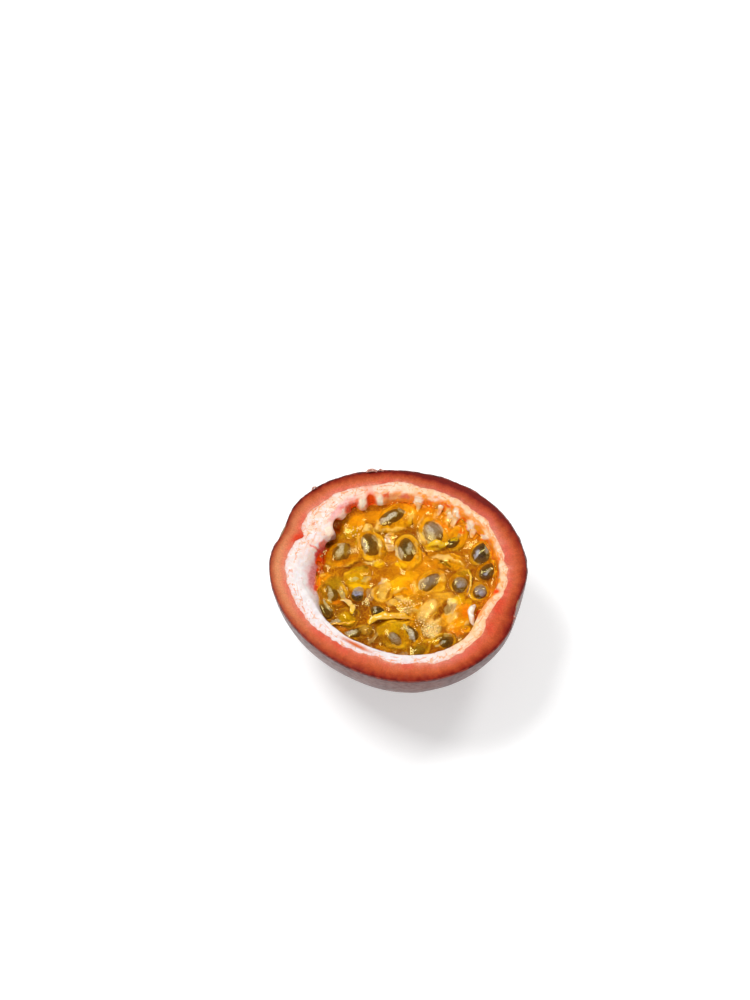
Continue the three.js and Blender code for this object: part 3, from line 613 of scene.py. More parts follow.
def make_skin(material):
    angle = round_angles(SIDES)
    nick = waver(on_ring(EDGE_RING, angle, 0), (0.10, 2.2, 31), (0.07, 0.7, 32))

    def lumps(turn):
        drop = SKIN_DEPTH * math.cos(turn)
        place = on_ring(SKIN_RING * math.sin(turn), angle, -drop)
        swell = waver(place, (0.22, 11, 33), (0.08, 4, 34), (0.025, 1.4, 35))
        return (1 - math.exp(-drop / 1.5)) * swell * math.sin(turn) + math.exp(-drop / EDGE_FADE) * nick

    outside = bowl(SKIN, SKIN_DEPTH, 0, turns_to_cut(SKIN_ROWS), angle, lumps)
    inside = bowl(SKIN, SKIN_DEPTH, SKIN_THICKNESS, turns_to_cut(LINING_ROWS)[::-1], angle)
    lip = (outside[-1] + inside[0]) / 2 + (0, 0, LIP_RISE)
    points, faces = loft(np.stack(outside + [lip] + inside), (0, 0, 0), (0, 0, SKIN_THICKNESS))
    drop = CUT - points[:, 2]
    rim = np.exp(-np.clip(drop, 0, None) / EDGE_FADE)
    return make_piece(
        "purple_skin", points, faces, material, "shell",
        rim=rim, lip=step(0.10, 0.0, drop), scar=end_scars(points),
    )


SCARS = ((157, 2.0), (-15, 1.3))          # angle and radius of the stem's scar and the flower's


def end_scars(points):
    """Where the stem and the flower were: 1 in the middle of each scar."""
    marks = np.zeros(len(points))
    for at, width in SCARS:
        angle = np.radians([at])
        middle = on_ring(outline(SKIN, angle), angle, CUT)
        away = np.linalg.norm(points - middle, axis=1) + 0.3 * noise(points, 0.9, 36)
        marks = np.maximum(marks, step(width, width * 0.6, away))
    return marks


def wall_border(angle, drop):
    """Radius of the border between red wall and pith, ragged at the cut and smooth below."""
    share = math.sqrt(max(0.0, 1 - (drop / PITH_DEPTH) ** 2))
    return share * outline(PITH, angle, drop) + math.exp(-((drop / WAVE_REACH) ** 2)) * ragged(angle)


def border_rings(angle, drops, grow=0.0):
    return [waved_ring(wall_border(angle, drop) + grow, angle, drop) for drop in drops]


def face_rings(outer, inner, rows, sag):
    """Rings across the cut face from one ring to another, with the tissue's own unevenness."""
    rings = []
    for share in np.linspace(0, 1, rows + 2)[1:-1]:
        ring = outer * (1 - share) + inner * share
        grain = waver(ring * (1, 1, 0), (0.05, 1.3, 41), (0.03, 0.5, 42))
        ring[:, 2] += grain * math.sin(math.pi * share) + sag(share)
        rings.append(ring)
    return rings


# Where round the wall each of its tints shows: height, angle, width.
WALL_TINTS = {
    "pale": ((0.6, 176, 34),),
    "light": ((1.0, 182, 38), (0.8, 14, 14)),
    "dusk": ((1.3, 58, 32),),
    "rosy": ((1.0, -26, 18), (0.5, -132, 14), (1.5, 157.5, 4)),
    "pink": ((0.7, -60, 10), (0.5, 27, 14), (0.4, 132, 12), (0.5, 190, 24)),
}
WALL_ROWS = 24                            # rings from the bottom of the wall to the cut
WALL_FACE_ROWS = 16                       # rings across its cut face
WALL_DROPS = (0, 0.5, 1.2, 2.5, 4.5, 8, 12, 16, 19.5, 21.6, 22.5)
WALL_DIP = 0.16                           # its face has dried a little below the skin's edge


def make_wall(material):
    angle = round_angles(SIDES)
    outside = bowl(SKIN, SKIN_DEPTH, SKIN_THICKNESS * 0.8, turns_to_cut(WALL_ROWS), angle)
    inside = border_rings(angle, WALL_DROPS)

    def dip(share):
        return -WALL_DIP * math.exp(-share / 0.12)

    face = face_rings(outside[-1], inside[0], WALL_FACE_ROWS, dip)
    rings = np.stack(outside + face + inside)
    points, faces = loft(rings, (0, 0, SKIN_THICKNESS), (0, 0, CUT - PITH_DEPTH))
    across = np.linspace(0, 1, len(face) + 2)
    depth = np.concatenate([np.zeros(len(outside) - 1), across, np.ones(len(inside) - 1)])
    rows = np.repeat(depth, SIDES)
    reach = {
        "pale": np.exp(-(((rows - 0.5) / 0.3) ** 2)),
        "light": step(1.0, 0.5, rows),
        "pink": step(0.45, 0.95, rows),
    }
    tints = {
        key: np.append(np.tile(bumps(angle, *rises), len(rings)) * reach.get(key, 1), (0, 0))
        for key, rises in WALL_TINTS.items()
    }
    return make_piece("red_wall", points, faces, material, "shell", depth=np.append(rows, (0, 1)), **tints)


# Hollows in the pith where sacs tore away: angle, drop, width, height, depth.
POCKETS = (
    (136, 2.6, 3, 3.2, 1.5), (106.8, 1.6, 1.9, 3, 0.7), (119, 2.2, 1.6, 1.6, 0.6),
    (149, 3.2, 2.2, 1.8, 1.4), (163, 3.2, 3.4, 1.8, 0.9), (173, 3.8, 2.8, 1.4, 0.7),
    (45, 2.2, 1, 1.2, 0.4),
)
MOUTH_ROUNDING = 0.25                     # the pith's edge rolls down into the cavity


def arc(angle, at):
    """Distance along the wall from one angle, in millimetres."""
    return np.radians((np.degrees(angle) - at + 180) % 360 - 180) * WALL_RING


def fingers(angle, drop):
    """How far the white fingers stand in from the wall."""
    stands = np.zeros(np.broadcast(angle, drop).shape)
    sway = 0.45 * noise(on_ring(WALL_RING, angle, -drop), 1.6, 58)
    for at, width, reach, deepest in FINGERS:
        half = width / 2 * (1.1 - 0.06 * drop)
        across = np.exp(-np.abs((arc(angle, at) + sway) / half) ** 2.6)
        ends = step(-0.3, deepest * 0.8, drop) * (1 - step(deepest + 0.3, deepest + 1.3, drop))
        stands = np.maximum(stands, reach * ends * across)
    return stands


def pocket_depth(angle, drop):
    """How deep the pith is torn out."""
    total = np.zeros(np.broadcast(angle, drop).shape)
    for at, middle, width, height, depth in POCKETS:
        off = (arc(angle, at) / (width / 2)) ** 4 + ((drop - middle) / (height / 2)) ** 4
        total = np.maximum(total, depth * np.exp(-off))
    return total


def pith_wall_radius(angle, drop):
    place = on_ring(WALL_RING, angle, -drop)
    crags = 1 + 2.2 * bump(angle, 18, 42) * np.exp(-drop / 1.2)
    uneven = 0.14 * noise(place, 2.4, 51) + 0.07 * crags * noise(place, 0.9, 52)
    return cavity_radius(angle, drop) - fingers(angle, drop) + pocket_depth(angle, drop) + uneven


PITH_SIDES = 720                          # points round the pith
PITH_FACE_ROWS = 24                       # rings across its cut face
PITH_DROPS = (22.5, 21, 18, 14, 9, 5, 2.5, 1, 0)
INNER_DROPS = (*np.arange(0.34, 6.6, 0.2), 7.5, 9, 11, 13.5, 16, 18, 19.3, 20)
PITH_GROW = 0.04                          # the pith reaches just into the wall round it
PITH_SINK = 0.05                          # its face lies a little below the wall's


def make_pith(material):
    angle = round_angles(PITH_SIDES)
    outside = border_rings(angle, PITH_DROPS, PITH_GROW)
    mouth = waved_ring(pith_wall_radius(angle, 0.0), angle, 0.0)

    def roll(share):
        return -MOUTH_ROUNDING * share**4 - PITH_SINK

    face = face_rings(outside[-1], mouth, PITH_FACE_ROWS, roll)
    for ring in face:
        ring[:, 2] -= torn_spots(ring[:, 0], ring[:, 1])[0]
    wall = [waved_ring(pith_wall_radius(angle, drop), angle, drop) for drop in INNER_DROPS]
    ends = (0, 0, CUT - PITH_DEPTH - PITH_GROW), (0, 0, CUT - CAVITY_DEPTH)
    points, faces = loft(np.stack(outside + face + wall), *ends)
    return make_piece("white_pith", points, faces, material, "pith", **pith_values(points))


# Torn spots on the ring of the pith: x, y, length, width, turn, depth.
TORN_SPOTS = ((21.7, -3.7, 2.2, 1.4, -10, 0.6), (-9.3, -17.1, 7.8, 1.0, -29, 0.3))


def torn_spots(x, y):
    """Depth of the torn spots, and a share that is 1 in the middle of one."""
    depths, there = np.zeros_like(x), np.zeros_like(x)
    for *spot, depth in TORN_SPOTS:
        share = np.exp(-(spot_reach(x, y, *spot) ** 1.5))
        depths = np.maximum(depths, depth * share)
        there = np.maximum(there, share)
    return depths, there


# Where round the pith each of its looks shows: height, angle, width.
PITH_LOOKS = {
    "cream": ((1, 62, 62), (0.9, 0, 40), (0.7, -42, 22)),
    "flush": ((1, 60, 62), (1, 0, 34)),
    "pink": ((1, 142, 26),),
    "blush": ((1, 178, 16),),
    "foam": ((1, 138, 28),),
    "hairy": ((1, 180, 16),),
}


def pith_values(points):
    """What colours the pith: how creamy, how flushed with juice, how near the red wall."""
    x, y, height = points.T
    angle, radius, drop = np.arctan2(y, x), np.hypot(x, y), CUT - height
    on_face = 1 - step(0.9, 1.1, drop)
    looks = {key: np.clip(bumps(angle, *rises), 0, 1) for key, rises in PITH_LOOKS.items()}
    past_mouth = outline(CAVITY, angle, 0.0) - radius
    inside = step(-0.45, 0.1, past_mouth + waver(points, (0.56, 1.3, 53), (0.32, 0.6, 54)))
    flush = looks["flush"] * inside * step(-0.1, 0.5, drop + 0.9 * noise(points, 1.2, 56))
    stray = 0.7 + 0.6 * noise(points, 1.2, 55)
    pink = looks["pink"] * step(-2.6, 0.4, past_mouth)
    blush = looks["blush"] * step(0.8, 1.8, drop + 0.4 * noise(points, 1.4, 57))
    to_wall = np.clip(outline(PITH, angle, 0.0) + ragged(angle) - radius, 0, 9)
    to_mouth = np.clip(-past_mouth, 0.01, 9)
    outer = step(0.85, 0.5, to_wall / (to_wall + to_mouth))
    depths, spots = torn_spots(x, y)
    pockets = pocket_depth(angle, drop)
    paint, cover = painted(x, y - SLANT * drop, PITH_PATCHES)
    paint[:, :3] *= 1 + 0.2 * noise(points, 0.4, 59)[:, None]
    return {
        "paint": paint,
        "cover": cover,
        "cream": looks["cream"],
        "flush": np.clip(flush, 0, 1),
        "blush": np.clip(blush + 0.5 * pink * stray, 0, 1),
        "red": np.clip(pockets / 0.6 + step(0.3, 0.5, depths), 0, 1),
        # Deeper in a pocket or torn spot the red is painted darker: red stain with painted shade.
        "deep": np.clip((pockets - 0.6) / 0.8 + step(0.35, 0.55, depths), 0, 1),
        "border": np.clip(outer + 0.4 * looks["cream"], 0, 1) * on_face,
        "fringe": np.exp(-to_wall / 0.4) * on_face,
        "streak": spots * on_face,
        "foam": looks["foam"] * on_face,
        "hairy": looks["hairy"] * step(1.0, 2.4, drop),
    }


def pulp_radius(angle):
    """How far the pulp reaches, pockets and all, at the level of its juice."""
    return cavity_radius(angle, PULP_DROP) + pocket_depth(angle, PULP_DROP)


CORE_CELLS = 260                          # cells across the grid of the flesh
CORE_GROW = 0.25                          # how far it reaches into the pith
CORE_DROPS = (5, 8, 12, 16, 19)           # where its sides step in
GEL_CELLS = 290                           # cells across the grid of the gel
GEL_GROW = 0.2                            # how far it reaches into the pith
GEL_DROP = 6                              # how deep it reaches
GEL_FILM = 0.42                           # how thick it is between the sacs
GEL_SWELL = 0.7                           # how much thicker it is in the middle of one
GEL_LEAST = 0.1                           # how thick it is where it is thinnest


def make_core(material):
    """The opaque flesh under the gel, close to the surface between the sacs and deeper in them."""
    share, angle = disc(CORE_CELLS)
    radius = share * (pulp_radius(angle) + CORE_GROW)
    x, y = radius * np.cos(angle), radius * np.sin(angle)
    surface, reach, tints = pulp_surface(x, y)
    inside = step(1.05, 0.25, reach)
    plan = flat(x, y)
    film = GEL_FILM + inside * (GEL_SWELL + 0.35 * noise(plan, 1.8, 61)) + 0.15 * noise(plan, 0.8, 62)
    glow = np.exp(-(((reach - 0.8) / 0.22) ** 2)) * step(-0.2, 0.6, noise(plan, 2.2, 64))
    # Painted shade: the flesh is painted dark brown in the creases between sacs and where the pulp has
    # sunk.
    crease = np.exp(-(((reach - 1.12) / 0.1) ** 2)) * step(-0.5, 0.3, noise(plan, 3, 63))
    crease = np.clip(crease + 1.2 * hollow_depth(x, y), 0, 1)
    film = film * (1 - 0.8 * painted(x, y, PATCHES, TORN_FILMS)[1] * (1 - over_seeds(x, y)))
    top = np.stack([x, y, surface - np.maximum(film, GEL_LEAST)], -1)
    points, faces = disc_solid(top, [(cavity_shrink(drop), drop) for drop in CORE_DROPS])
    paint, cover = painted(x, y, PATCHES)
    paint[..., :3] *= 1 + waver(plan, (0.14, 1.1, 65), (0.07, 0.5, 70))[..., None]
    tint = tints[1] + cover[..., None] * (paint - tints[1])
    edge = far_wall(x, y, SOAK_REACH)
    tint = tint + 0.7 * edge[..., None] * (np.array(PATCH_TINTS["orange"]) - tint)
    near_left = step(2, -12, y) * step(14, -4, x)
    tint[..., :3] *= FLESH_SHADE * (1 - NEAR_SHADE * near_left)[..., None]
    values = {"flesh": tint.reshape(-1, 4), "cover": cover, "glow": glow, "crease": crease * (1 - edge)}
    return make_piece("pulp_flesh", points, faces, material, "pulp", **fill_out(values, len(points)))


def over_seeds(x, y):
    """1 over a seed, 0 away from all of them."""
    return np.max([step(1.7, 1.1, spot_reach(x, y, *seed[:5])) for seed in SEEDS], axis=0)


def cavity_shrink(drop):
    """A level ring of the cavity as a share of its ring at the pulp's surface."""
    return math.sqrt(1 - (drop / CAVITY_DEPTH) ** 2) / math.sqrt(1 - (PULP_DROP / CAVITY_DEPTH) ** 2)


def fill_out(values, count):
    """Values of a grid's points, each with its last one repeated for the points after them."""
    filled = {}
    for key, value in values.items():
        value = value if value.shape[-1] == 4 else value.ravel()
        filled[key] = np.concatenate([value, np.repeat(value[-1:], count - len(value), axis=0)])
    return filled


def make_gel(material):
    """The wet clear gel of all the sacs, one skin with a crease between neighbours."""
    share, angle = disc(GEL_CELLS)
    radius = share * (pulp_radius(angle) + GEL_GROW)
    x, y = radius * np.cos(angle), radius * np.sin(angle)
    surface, _, tints = pulp_surface(x, y)
    # The gel is left untinted under the films, so their cloudy skin and painted reflection show through it.
    untinted = painted(x, y, PATCHES, SHEEN_FILMS + TORN_FILMS)[1][..., None]
    gel = tints[0] + untinted * (1 - tints[0])
    top = np.stack([x, y, surface], -1)
    points, faces = disc_solid(top, [(cavity_shrink(GEL_DROP) * 0.99, GEL_DROP)])
    values = fill_out({"gel": gel.reshape(-1, 4)}, len(points))
    return make_piece("juice_sacs", points, faces, material, "sac", **values)


SEED_SIDES = 48                           # points round a seed
SEED_ROWS = 34                            # rings along it
SEED_POINT = 0.14                         # how much slimmer one end is
SEED_PITS = 0.035                         # depth of its pits, as a share of its size
MURK_REACH = 1.1                          # how deep in the juice a seed turns murky


def make_seeds(material):
    """Flattened seeds, a little pointed at one end, pitted all over."""
    around = np.linspace(0, 2 * math.pi, SEED_SIDES, endpoint=False)
    tilt = np.linspace(0.06, math.pi - 0.06, SEED_ROWS)[:, None]
    pointed = 1 - SEED_POINT * np.cos(tilt)
    rings = np.stack([
        np.cos(tilt) + 0 * around,
        np.sin(tilt) * np.cos(around) * pointed,
        np.sin(tilt) * np.sin(around),
    ], -1)
    parts = []
    values = {"shade": [], "film": [], "cover": [], "murk": []}
    for number, (x, y, length, width, turn, sunk, nod) in enumerate(SEEDS):
        points, faces = loft(rings, (1, 0, 0), (-1, 0, 0))
        pits = noise(points * (5.2, 3.6, 3.0) + number * 9, 1, 71)
        points = points * (1 - SEED_PITS * step(0.1, 0.6, pits))[:, None]
        points = points * (length / 2, width / 2, SEED_HEIGHT / 2)
        spin = Matrix.Rotation(math.radians(turn), 3, "Z") @ Matrix.Rotation(math.radians(nod), 3, "Y")
        points = points @ np.array(spin).T
        # Films, with their painted reflection, lie only on a seed's upper half, the side the lamps light.
        lit = step(-0.3, 0.5, points[:, 2] / (SEED_HEIGHT / 2))
        surface = pulp_surface(np.array([x]), np.array([y]))[0][0]
        points = points + (x, y, surface - sunk - points[:, 2].max())
        film, cover = painted(points[:, 0], points[:, 1], PATCHES, SEED_PATCH_KINDS, SHARP_EDGE)
        values["shade"].append(np.full(len(points), number * 0.618 % 1))
        values["film"].append(film)
        values["cover"].append(cover * lit)
        depth = np.clip(surface - points[:, 2] - 0.25, 0, None)
        values["murk"].append(1 - np.exp(-depth / MURK_REACH))
        parts.append((points, faces))
    points, faces = joined(parts)
    values = {key: np.concatenate(value) for key, value in values.items()}
    return make_piece("seeds", points, faces, material, "seed", **values)


# Torn sac skins on the pulp: points (x, y, lift over the surface), width, thickness, ridges, the
# tints of its start and end, and how much it narrows and soaks towards its end.
WEDGE = 0.45                              # the pale wedges on the far wall narrow by this much
TORN_SKINS = (
    (((-6.6, -10.8, -0.3), (-5.8, -9.6, 0.2), (-4.0, -8.9, 0.4), (-0.8, -8.8, 0.35), (1.6, -9.1, 0.2),
      (3.6, -9.5, -0.3)), 1.5, 0.8, 0, "bright", "yellow", 0),
    (((-1.9, 11.9, -0.3), (-1.8, 11.0, 0.05), (-1.8, 8.4, 0.05), (-1.7, 7.2, -0.3)),
     2.5, 0.3, 7, "tan", "tan", 0),
    (((7.0, 8.7, -0.3), (8.4, 8.9, 0.15), (10.0, 8.7, 0.1), (11.2, 9.2, -0.4)),
     1.4, 0.8, 0, "bright", "bright", 0),
    (((17.2, -6.4, 0.3), (16.5, -7.4, 0.9), (16.1, -8.8, 1.0), (16.3, -10.2, 0.8), (16.9, -11.4, 0.3)),
     1.4, 1.3, 0, "white", "white", 0),
    (((14.5, 19.3, 0.9), (13.9, 17.8, 0.8), (13.3, 15.8, 0.5), (12.3, 13.4, -0.2)),
     2.8, 1.0, 0, "white", "butter", WEDGE),
    (((18.3, 15.6, 0.9), (17.6, 14.0, 0.8), (17.1, 12.4, 0.5), (16.6, 10.6, -0.2)),
     3.0, 1.0, 0, "white", "butter", WEDGE),
    (((21.2, 11.9, 0.7), (20.5, 10.9, 0.5), (19.5, 9.6, -0.2)),
     2.0, 0.8, 0, "white", "butter", WEDGE),
    (((4.6, 21.4, 0.8), (4.7, 20.2, 0.7), (4.8, 19.0, 0.3), (4.6, 17.6, -0.2)),
     2.2, 0.8, 0, "white", "butter", WEDGE),
    (((10.0, 19.6, 0.5), (9.8, 18.4, 0.4), (9.5, 17.2, 0.15), (9.0, 16.2, -0.2)),
     1.6, 0.6, 0, "white", "butter", WEDGE),
    (((12.4, 18.4, 0.5), (12.1, 17.0, 0.35), (11.8, 15.9, 0.1), (11.3, 14.9, -0.2)),
     1.7, 0.6, 0, "white", "butter", WEDGE),
    (((7.6, 20.8, 0.5), (7.5, 19.8, 0.3), (7.3, 19.0, 0.0), (7.1, 18.2, -0.2)),
     1.4, 0.5, 0, "white", "butter", WEDGE),
    (((15.6, 2.6, -0.2), (16.4, 0.6, 0.15), (16.3, -1.6, 0.15), (15.6, -3.6, -0.2)),
     0.5, 0.4, 0, "bright", "yellow", 0),
    (((-12.9, -4.8, -0.3), (-11.2, -5.4, 0.25), (-10.2, -6.8, 0.3), (-10.4, -8.6, -0.3)),
     1.4, 0.6, 0, "membrane", "bright", 0),
    (((-16.6, -10.8, -0.2), (-13.8, -10.8, 0.1), (-11.6, -10.8, 0.1), (-9.6, -10.2, -0.2)),
     0.6, 0.4, 0, "yellow", "yellow", 0),
)

# Tints of the torn skins, of the juice that soaks them and of the valleys between their ridges.
SKIN_TINTS = {
    "yellow": colour(236, 172, 14),
    "bright": colour(255, 204, 8),
    "membrane": colour(240, 204, 132),
    "soaked": colour(255, 150, 44),
    "tan": colour(226, 176, 92),
    "white": colour(255, 242, 226),
    "butter": colour(255, 194, 104),
    "ridge": colour(176, 108, 30),
}


def smooth_path(knots, count):
    """A smooth run of points through a few knots."""
    knots = np.asarray(knots, float)
    ends = np.concatenate([knots[:1] * 2 - knots[1:2], knots, knots[-1:] * 2 - knots[-2:-1]])
    spans = len(knots) - 1
    path = []
    for share in np.linspace(0, spans, count):
        span = min(int(share), spans - 1)
        t = share - span
        before, start, end, after = ends[span:span + 4]
        path.append(0.5 * (
            2 * start + (end - before) * t + (2 * before - 5 * start + 4 * end - after) * t**2
            + (3 * start - before - 3 * end + after) * t**3
        ))
    return np.array(path)


def ribbon(path, width, thickness, ridges=0, narrow=0.0, sides=16):
    """A flat soft band along a path, thin at both ends, with ridges across it."""
    ahead = np.gradient(path, axis=0)
    ahead /= np.linalg.norm(ahead, axis=1)[:, None]
    side = np.cross((0, 0, 1), ahead)
    side /= np.linalg.norm(side, axis=1)[:, None]
    share = np.linspace(0, 1, len(path))
    swell = np.sin(math.pi * np.clip(share, 0.02, 0.98)) ** 0.35 * (1 - narrow * share) / 2
    ripple = 1 + 0.15 * np.sin(share * ridges * 2 * math.pi)
    around = np.linspace(0, 2 * math.pi, sides, endpoint=False)
    wide = side * (width * swell)[:, None]
    high = np.cross(ahead, side) * (thickness * swell * ripple)[:, None]
    ring = wide[:, None] * np.cos(around)[:, None] + high[:, None] * np.sin(around)[:, None]
    return loft(path[:, None] + ring, path[0], path[-1])


def joined(parts):
    """Several (points, faces) as one."""
    points, faces, count = [], [], 0
    for part_points, part_faces in parts:
        points.append(part_points)
        faces += [[corner + count for corner in face] for face in part_faces]
        count += len(part_points)
    return np.concatenate(points), faces


def make_torn_skins(material):
    parts, tints = [], []
    steps, sides = 36, 16
    share = np.append(np.repeat(np.linspace(0, 1, steps), sides), (0, 1))[:, None]
    for knots, width, thickness, ridges, first, last, narrow in TORN_SKINS:
        path = smooth_path(knots, steps)
        path[:, 2] += pulp_surface(path[:, 0], path[:, 1])[0]
        points, faces = ribbon(path, width, thickness, ridges, narrow, sides)
        wobble = waver(points, (0.28, 1.1, 81), (0.14, 0.5, 82))
        parts.append((points + wobble[:, None] * (0.8, 0.8, 1), faces))
        start, end, soaked, ridge = (np.array(SKIN_TINTS[key]) for key in (first, last, "soaked", "ridge"))
        tint = (1 - share) * start + share * end
        tint += 1.5 * narrow * step(-0.15, 0.35, noise(points, 0.9, 83))[:, None] * (soaked - tint)
        valley = step(0.75, 1.0, -np.sin(share * ridges * 2 * math.pi))
        tints.append(tint + valley * (ridge - tint))
    points, faces = joined(parts)
    return make_piece("torn_sac_skins", points, faces, material, "pulp", tint=np.concatenate(tints))


# Clusters of small beads of froth on the pulp: x, y, spread, how many.
FROTH = ((7.2, -12.3, 1.9, 34), (1.7, -6.4, 1.8, 24), (4.9, -10.2, 1.3, 12), (-17.4, 2.6, 0.8, 8),
         (-9.6, 12.2, 1.3, 8), (-17.0, 7.2, 0.9, 10))
GOLDEN_ANGLE = math.radians(137.5)
BEAD_SIDES = 10                           # points round a bead
BEAD_ROWS = 7                             # rings down it


def make_froth(material):
    """Round beads of froth, sunk a little in the juice."""
    around = np.linspace(0, 2 * math.pi, BEAD_SIDES, endpoint=False)
    tilt = np.linspace(0.3, math.pi - 0.3, BEAD_ROWS)[:, None]
    ball = on_ring(np.sin(tilt), around, np.cos(tilt))
    parts = []
    for at_x, at_y, spread, count in FROTH:
        for number in range(count):
            away = spread * math.sqrt((number + 0.5) / count)
            turn = number * GOLDEN_ANGLE
            spot = np.array([[at_x + away * math.cos(turn), at_y + away * math.sin(turn), 0.0]])
            spot = spot + 0.3 * noise(spot + (0, 0, number), 0.7, 95)[:, None] * (1, 1, 0)
            size = 0.09 + 0.06 * spread + 0.09 * float(noise(spot, 0.4, 96)[0])
            spot[:, 2] = pulp_surface(spot[:, 0], spot[:, 1])[0] - 0.15 * size
            parts.append(loft(ball * size + spot, spot[0] + (0, 0, size), spot[0] - (0, 0, size)))
    points, faces = joined(parts)
    return make_piece("froth_beads", points, faces, material, "pulp")


# Curls of dry skin left on the rim by the knife: angle, length, width, how far it stands up.
FLAKES = ((131, 1.6, 0.45, 0.9), (102.5, 2.6, 0.8, 0.5), (98, 1.3, 0.5, 0.35), (-22, 1.0, 0.5, 0.3))


def make_flakes(material):
    parts = []
    for at, length, width, rise in FLAKES:
        knots = []
        for share in (0, 0.33, 0.66, 1):
            angle = np.array(math.radians(at) + (share - 0.5) * length / SKIN_RING)
            radius = outline(SKIN, angle) - 0.25 + 0.25 * math.sin(math.pi * share)
            knots.append(on_ring(radius, angle, CUT + rise * math.sin(math.pi * share * 0.7) - 0.15))
        points, faces = ribbon(smooth_path(knots, 20), width, 0.2, 2)
        parts.append((points + 0.08 * noise(points, 0.5, 91)[:, None], faces))
    points, faces = joined(parts)
    return make_piece("rim_flakes", points, faces, material, "shell")


# ---- Finishes -------------------------------------------------------------------------------


class Graph:
    """Makes the nodes of one node tree and links their sockets."""

    def __init__(self, tree):
        self.tree = tree

    def feed(self, socket, value):
        if isinstance(value, bpy.types.NodeSocket):
            self.tree.links.new(value, socket)
        else:
            socket.default_value = value

    def node(self, kind, sockets=None, **settings):
        made = self.tree.nodes.new("ShaderNode" + kind)
        for key, value in settings.items():
            setattr(made, key, value)
        for key, value in (sockets or {}).items():
            self.feed(made.inputs[key], value)
        return made

    def maths(self, how, first, second=0.0):
        return self.node("Math", {0: first, 1: second}, operation=how).outputs[0]

    def plus(self, *terms):
        return functools.reduce(lambda total, term: self.maths("ADD", total, term), terms)

    def times(self, *factors):
        return functools.reduce(lambda total, factor: self.maths("MULTIPLY", total, factor), factors)

    def vector(self, how, sockets):
        return self.node("VectorMath", sockets, operation=how).outputs["Vector"]

    def smooth(self, value, low, high, start=0.0, end=1.0):
        """A smooth run from start, at low, to end, at high."""
        sockets = {"Value": value, "From Min": low, "From Max": high, "To Min": start, "To Max": end}
        return self.node("MapRange", sockets, interpolation_type="SMOOTHSTEP").outputs["Result"]

    def texture(self, kind, place, size, **settings):
        """A texture with features about one size across."""
        return self.node(kind, {"Vector": place, "Scale": self.maths("DIVIDE", 1.0, size)}, **settings)


def mask_group(name, **numbers):
    """A shader group from a place and named numbers to a mask: its graph, inputs and mask socket."""
    tree = bpy.data.node_groups.new(name, "ShaderNodeTree")
    tree.interface.new_socket("Place", in_out="INPUT", socket_type="NodeSocketVector")
    for key, value in numbers.items():
        socket = tree.interface.new_socket(key, in_out="INPUT", socket_type="NodeSocketFloat")
        socket.default_value = value
    tree.interface.new_socket("Mask", in_out="OUTPUT", socket_type="NodeSocketFloat")
    given, out = tree.nodes.new("NodeGroupInput"), tree.nodes.new("NodeGroupOutput")
    return Graph(tree), given.outputs, out.inputs["Mask"]


def make_mottle():
    """Soft blotches with a set size and a set edge."""
    graph, given, mask = mask_group("mottle", Size=0.004, Low=0.4, High=0.6, Detail=3.0)
    cloud = graph.texture("TexNoise", given["Place"], given["Size"])
    graph.feed(cloud.inputs["Detail"], given["Detail"])
    graph.feed(mask, graph.smooth(cloud.outputs["Fac"], given["Low"], given["High"]))
    return graph.tree


def make_specks():
    """Small round spots scattered over the surface."""
    graph, given, mask = mask_group("specks", Spacing=0.002, Spot=0.2, Share=0.5)
    cells = graph.texture("TexVoronoi", given["Place"], given["Spacing"])
    spot = graph.smooth(cells.outputs["Distance"], 0.0, given["Spot"], 1.0, 0.0)
    draw = graph.node("SeparateColor", {"Color": cells.outputs["Color"]}).outputs["Red"]
    graph.feed(mask, graph.times(spot, graph.maths("LESS_THAN", draw, given["Share"])))
    return graph.tree


def make_streaks():
    """Fine streaks that point at the middle of the fruit, or run round it."""
    graph, given, mask = mask_group("streaks", Size=0.001, Radial=0.35, Round=1.0, Low=0.32, High=0.68)
    level = graph.vector("MULTIPLY", {0: given["Place"], 1: (1, 1, 0)})
    spread = graph.times(graph.maths("SUBTRACT", given["Round"], given["Radial"]), BORDER_RING * MM)
    turned = graph.vector("SCALE", {0: graph.vector("NORMALIZE", {0: level}), "Scale": spread})
    pressed = graph.vector("SCALE", {0: given["Place"], "Scale": given["Radial"]})
    cloud = graph.texture("TexNoise", graph.vector("ADD", {0: turned, 1: pressed}), given["Size"])
    cloud.inputs["Detail"].default_value = 3.0
    graph.feed(mask, graph.smooth(cloud.outputs["Fac"], given["Low"], given["High"]))
    return graph.tree


VEIN_SWAY = 1.6                           # how far a vein bends


def make_veins():
    """Thin broken veins in a net."""
    graph, given, mask = mask_group("veins", Size=0.0015, Width=0.08, Share=0.5)
    sway = graph.texture("TexNoise", given["Place"], given["Size"])
    strength = (VEIN_SWAY * MM,) * 3
    bend = graph.vector("MULTIPLY_ADD", {0: sway.outputs["Color"], 1: strength, 2: given["Place"]})
    net = graph.texture("TexVoronoi", bend, given["Size"], feature="DISTANCE_TO_EDGE")
    line = graph.smooth(net.outputs["Distance"], 0.0, given["Width"], 1.0, 0.0)
    graph.feed(mask, graph.times(line, graph.maths("LESS_THAN", sway.outputs["Fac"], given["Share"])))
    return graph.tree


MOTTLE = make_mottle()
SPECKS = make_specks()
STREAKS = make_streaks()
VEINS = make_veins()


MIX_SOCKETS = (0, 6, 7)                   # the colour mix's factor and its two colours
MIX_RESULT = 2                            # the mixed colour


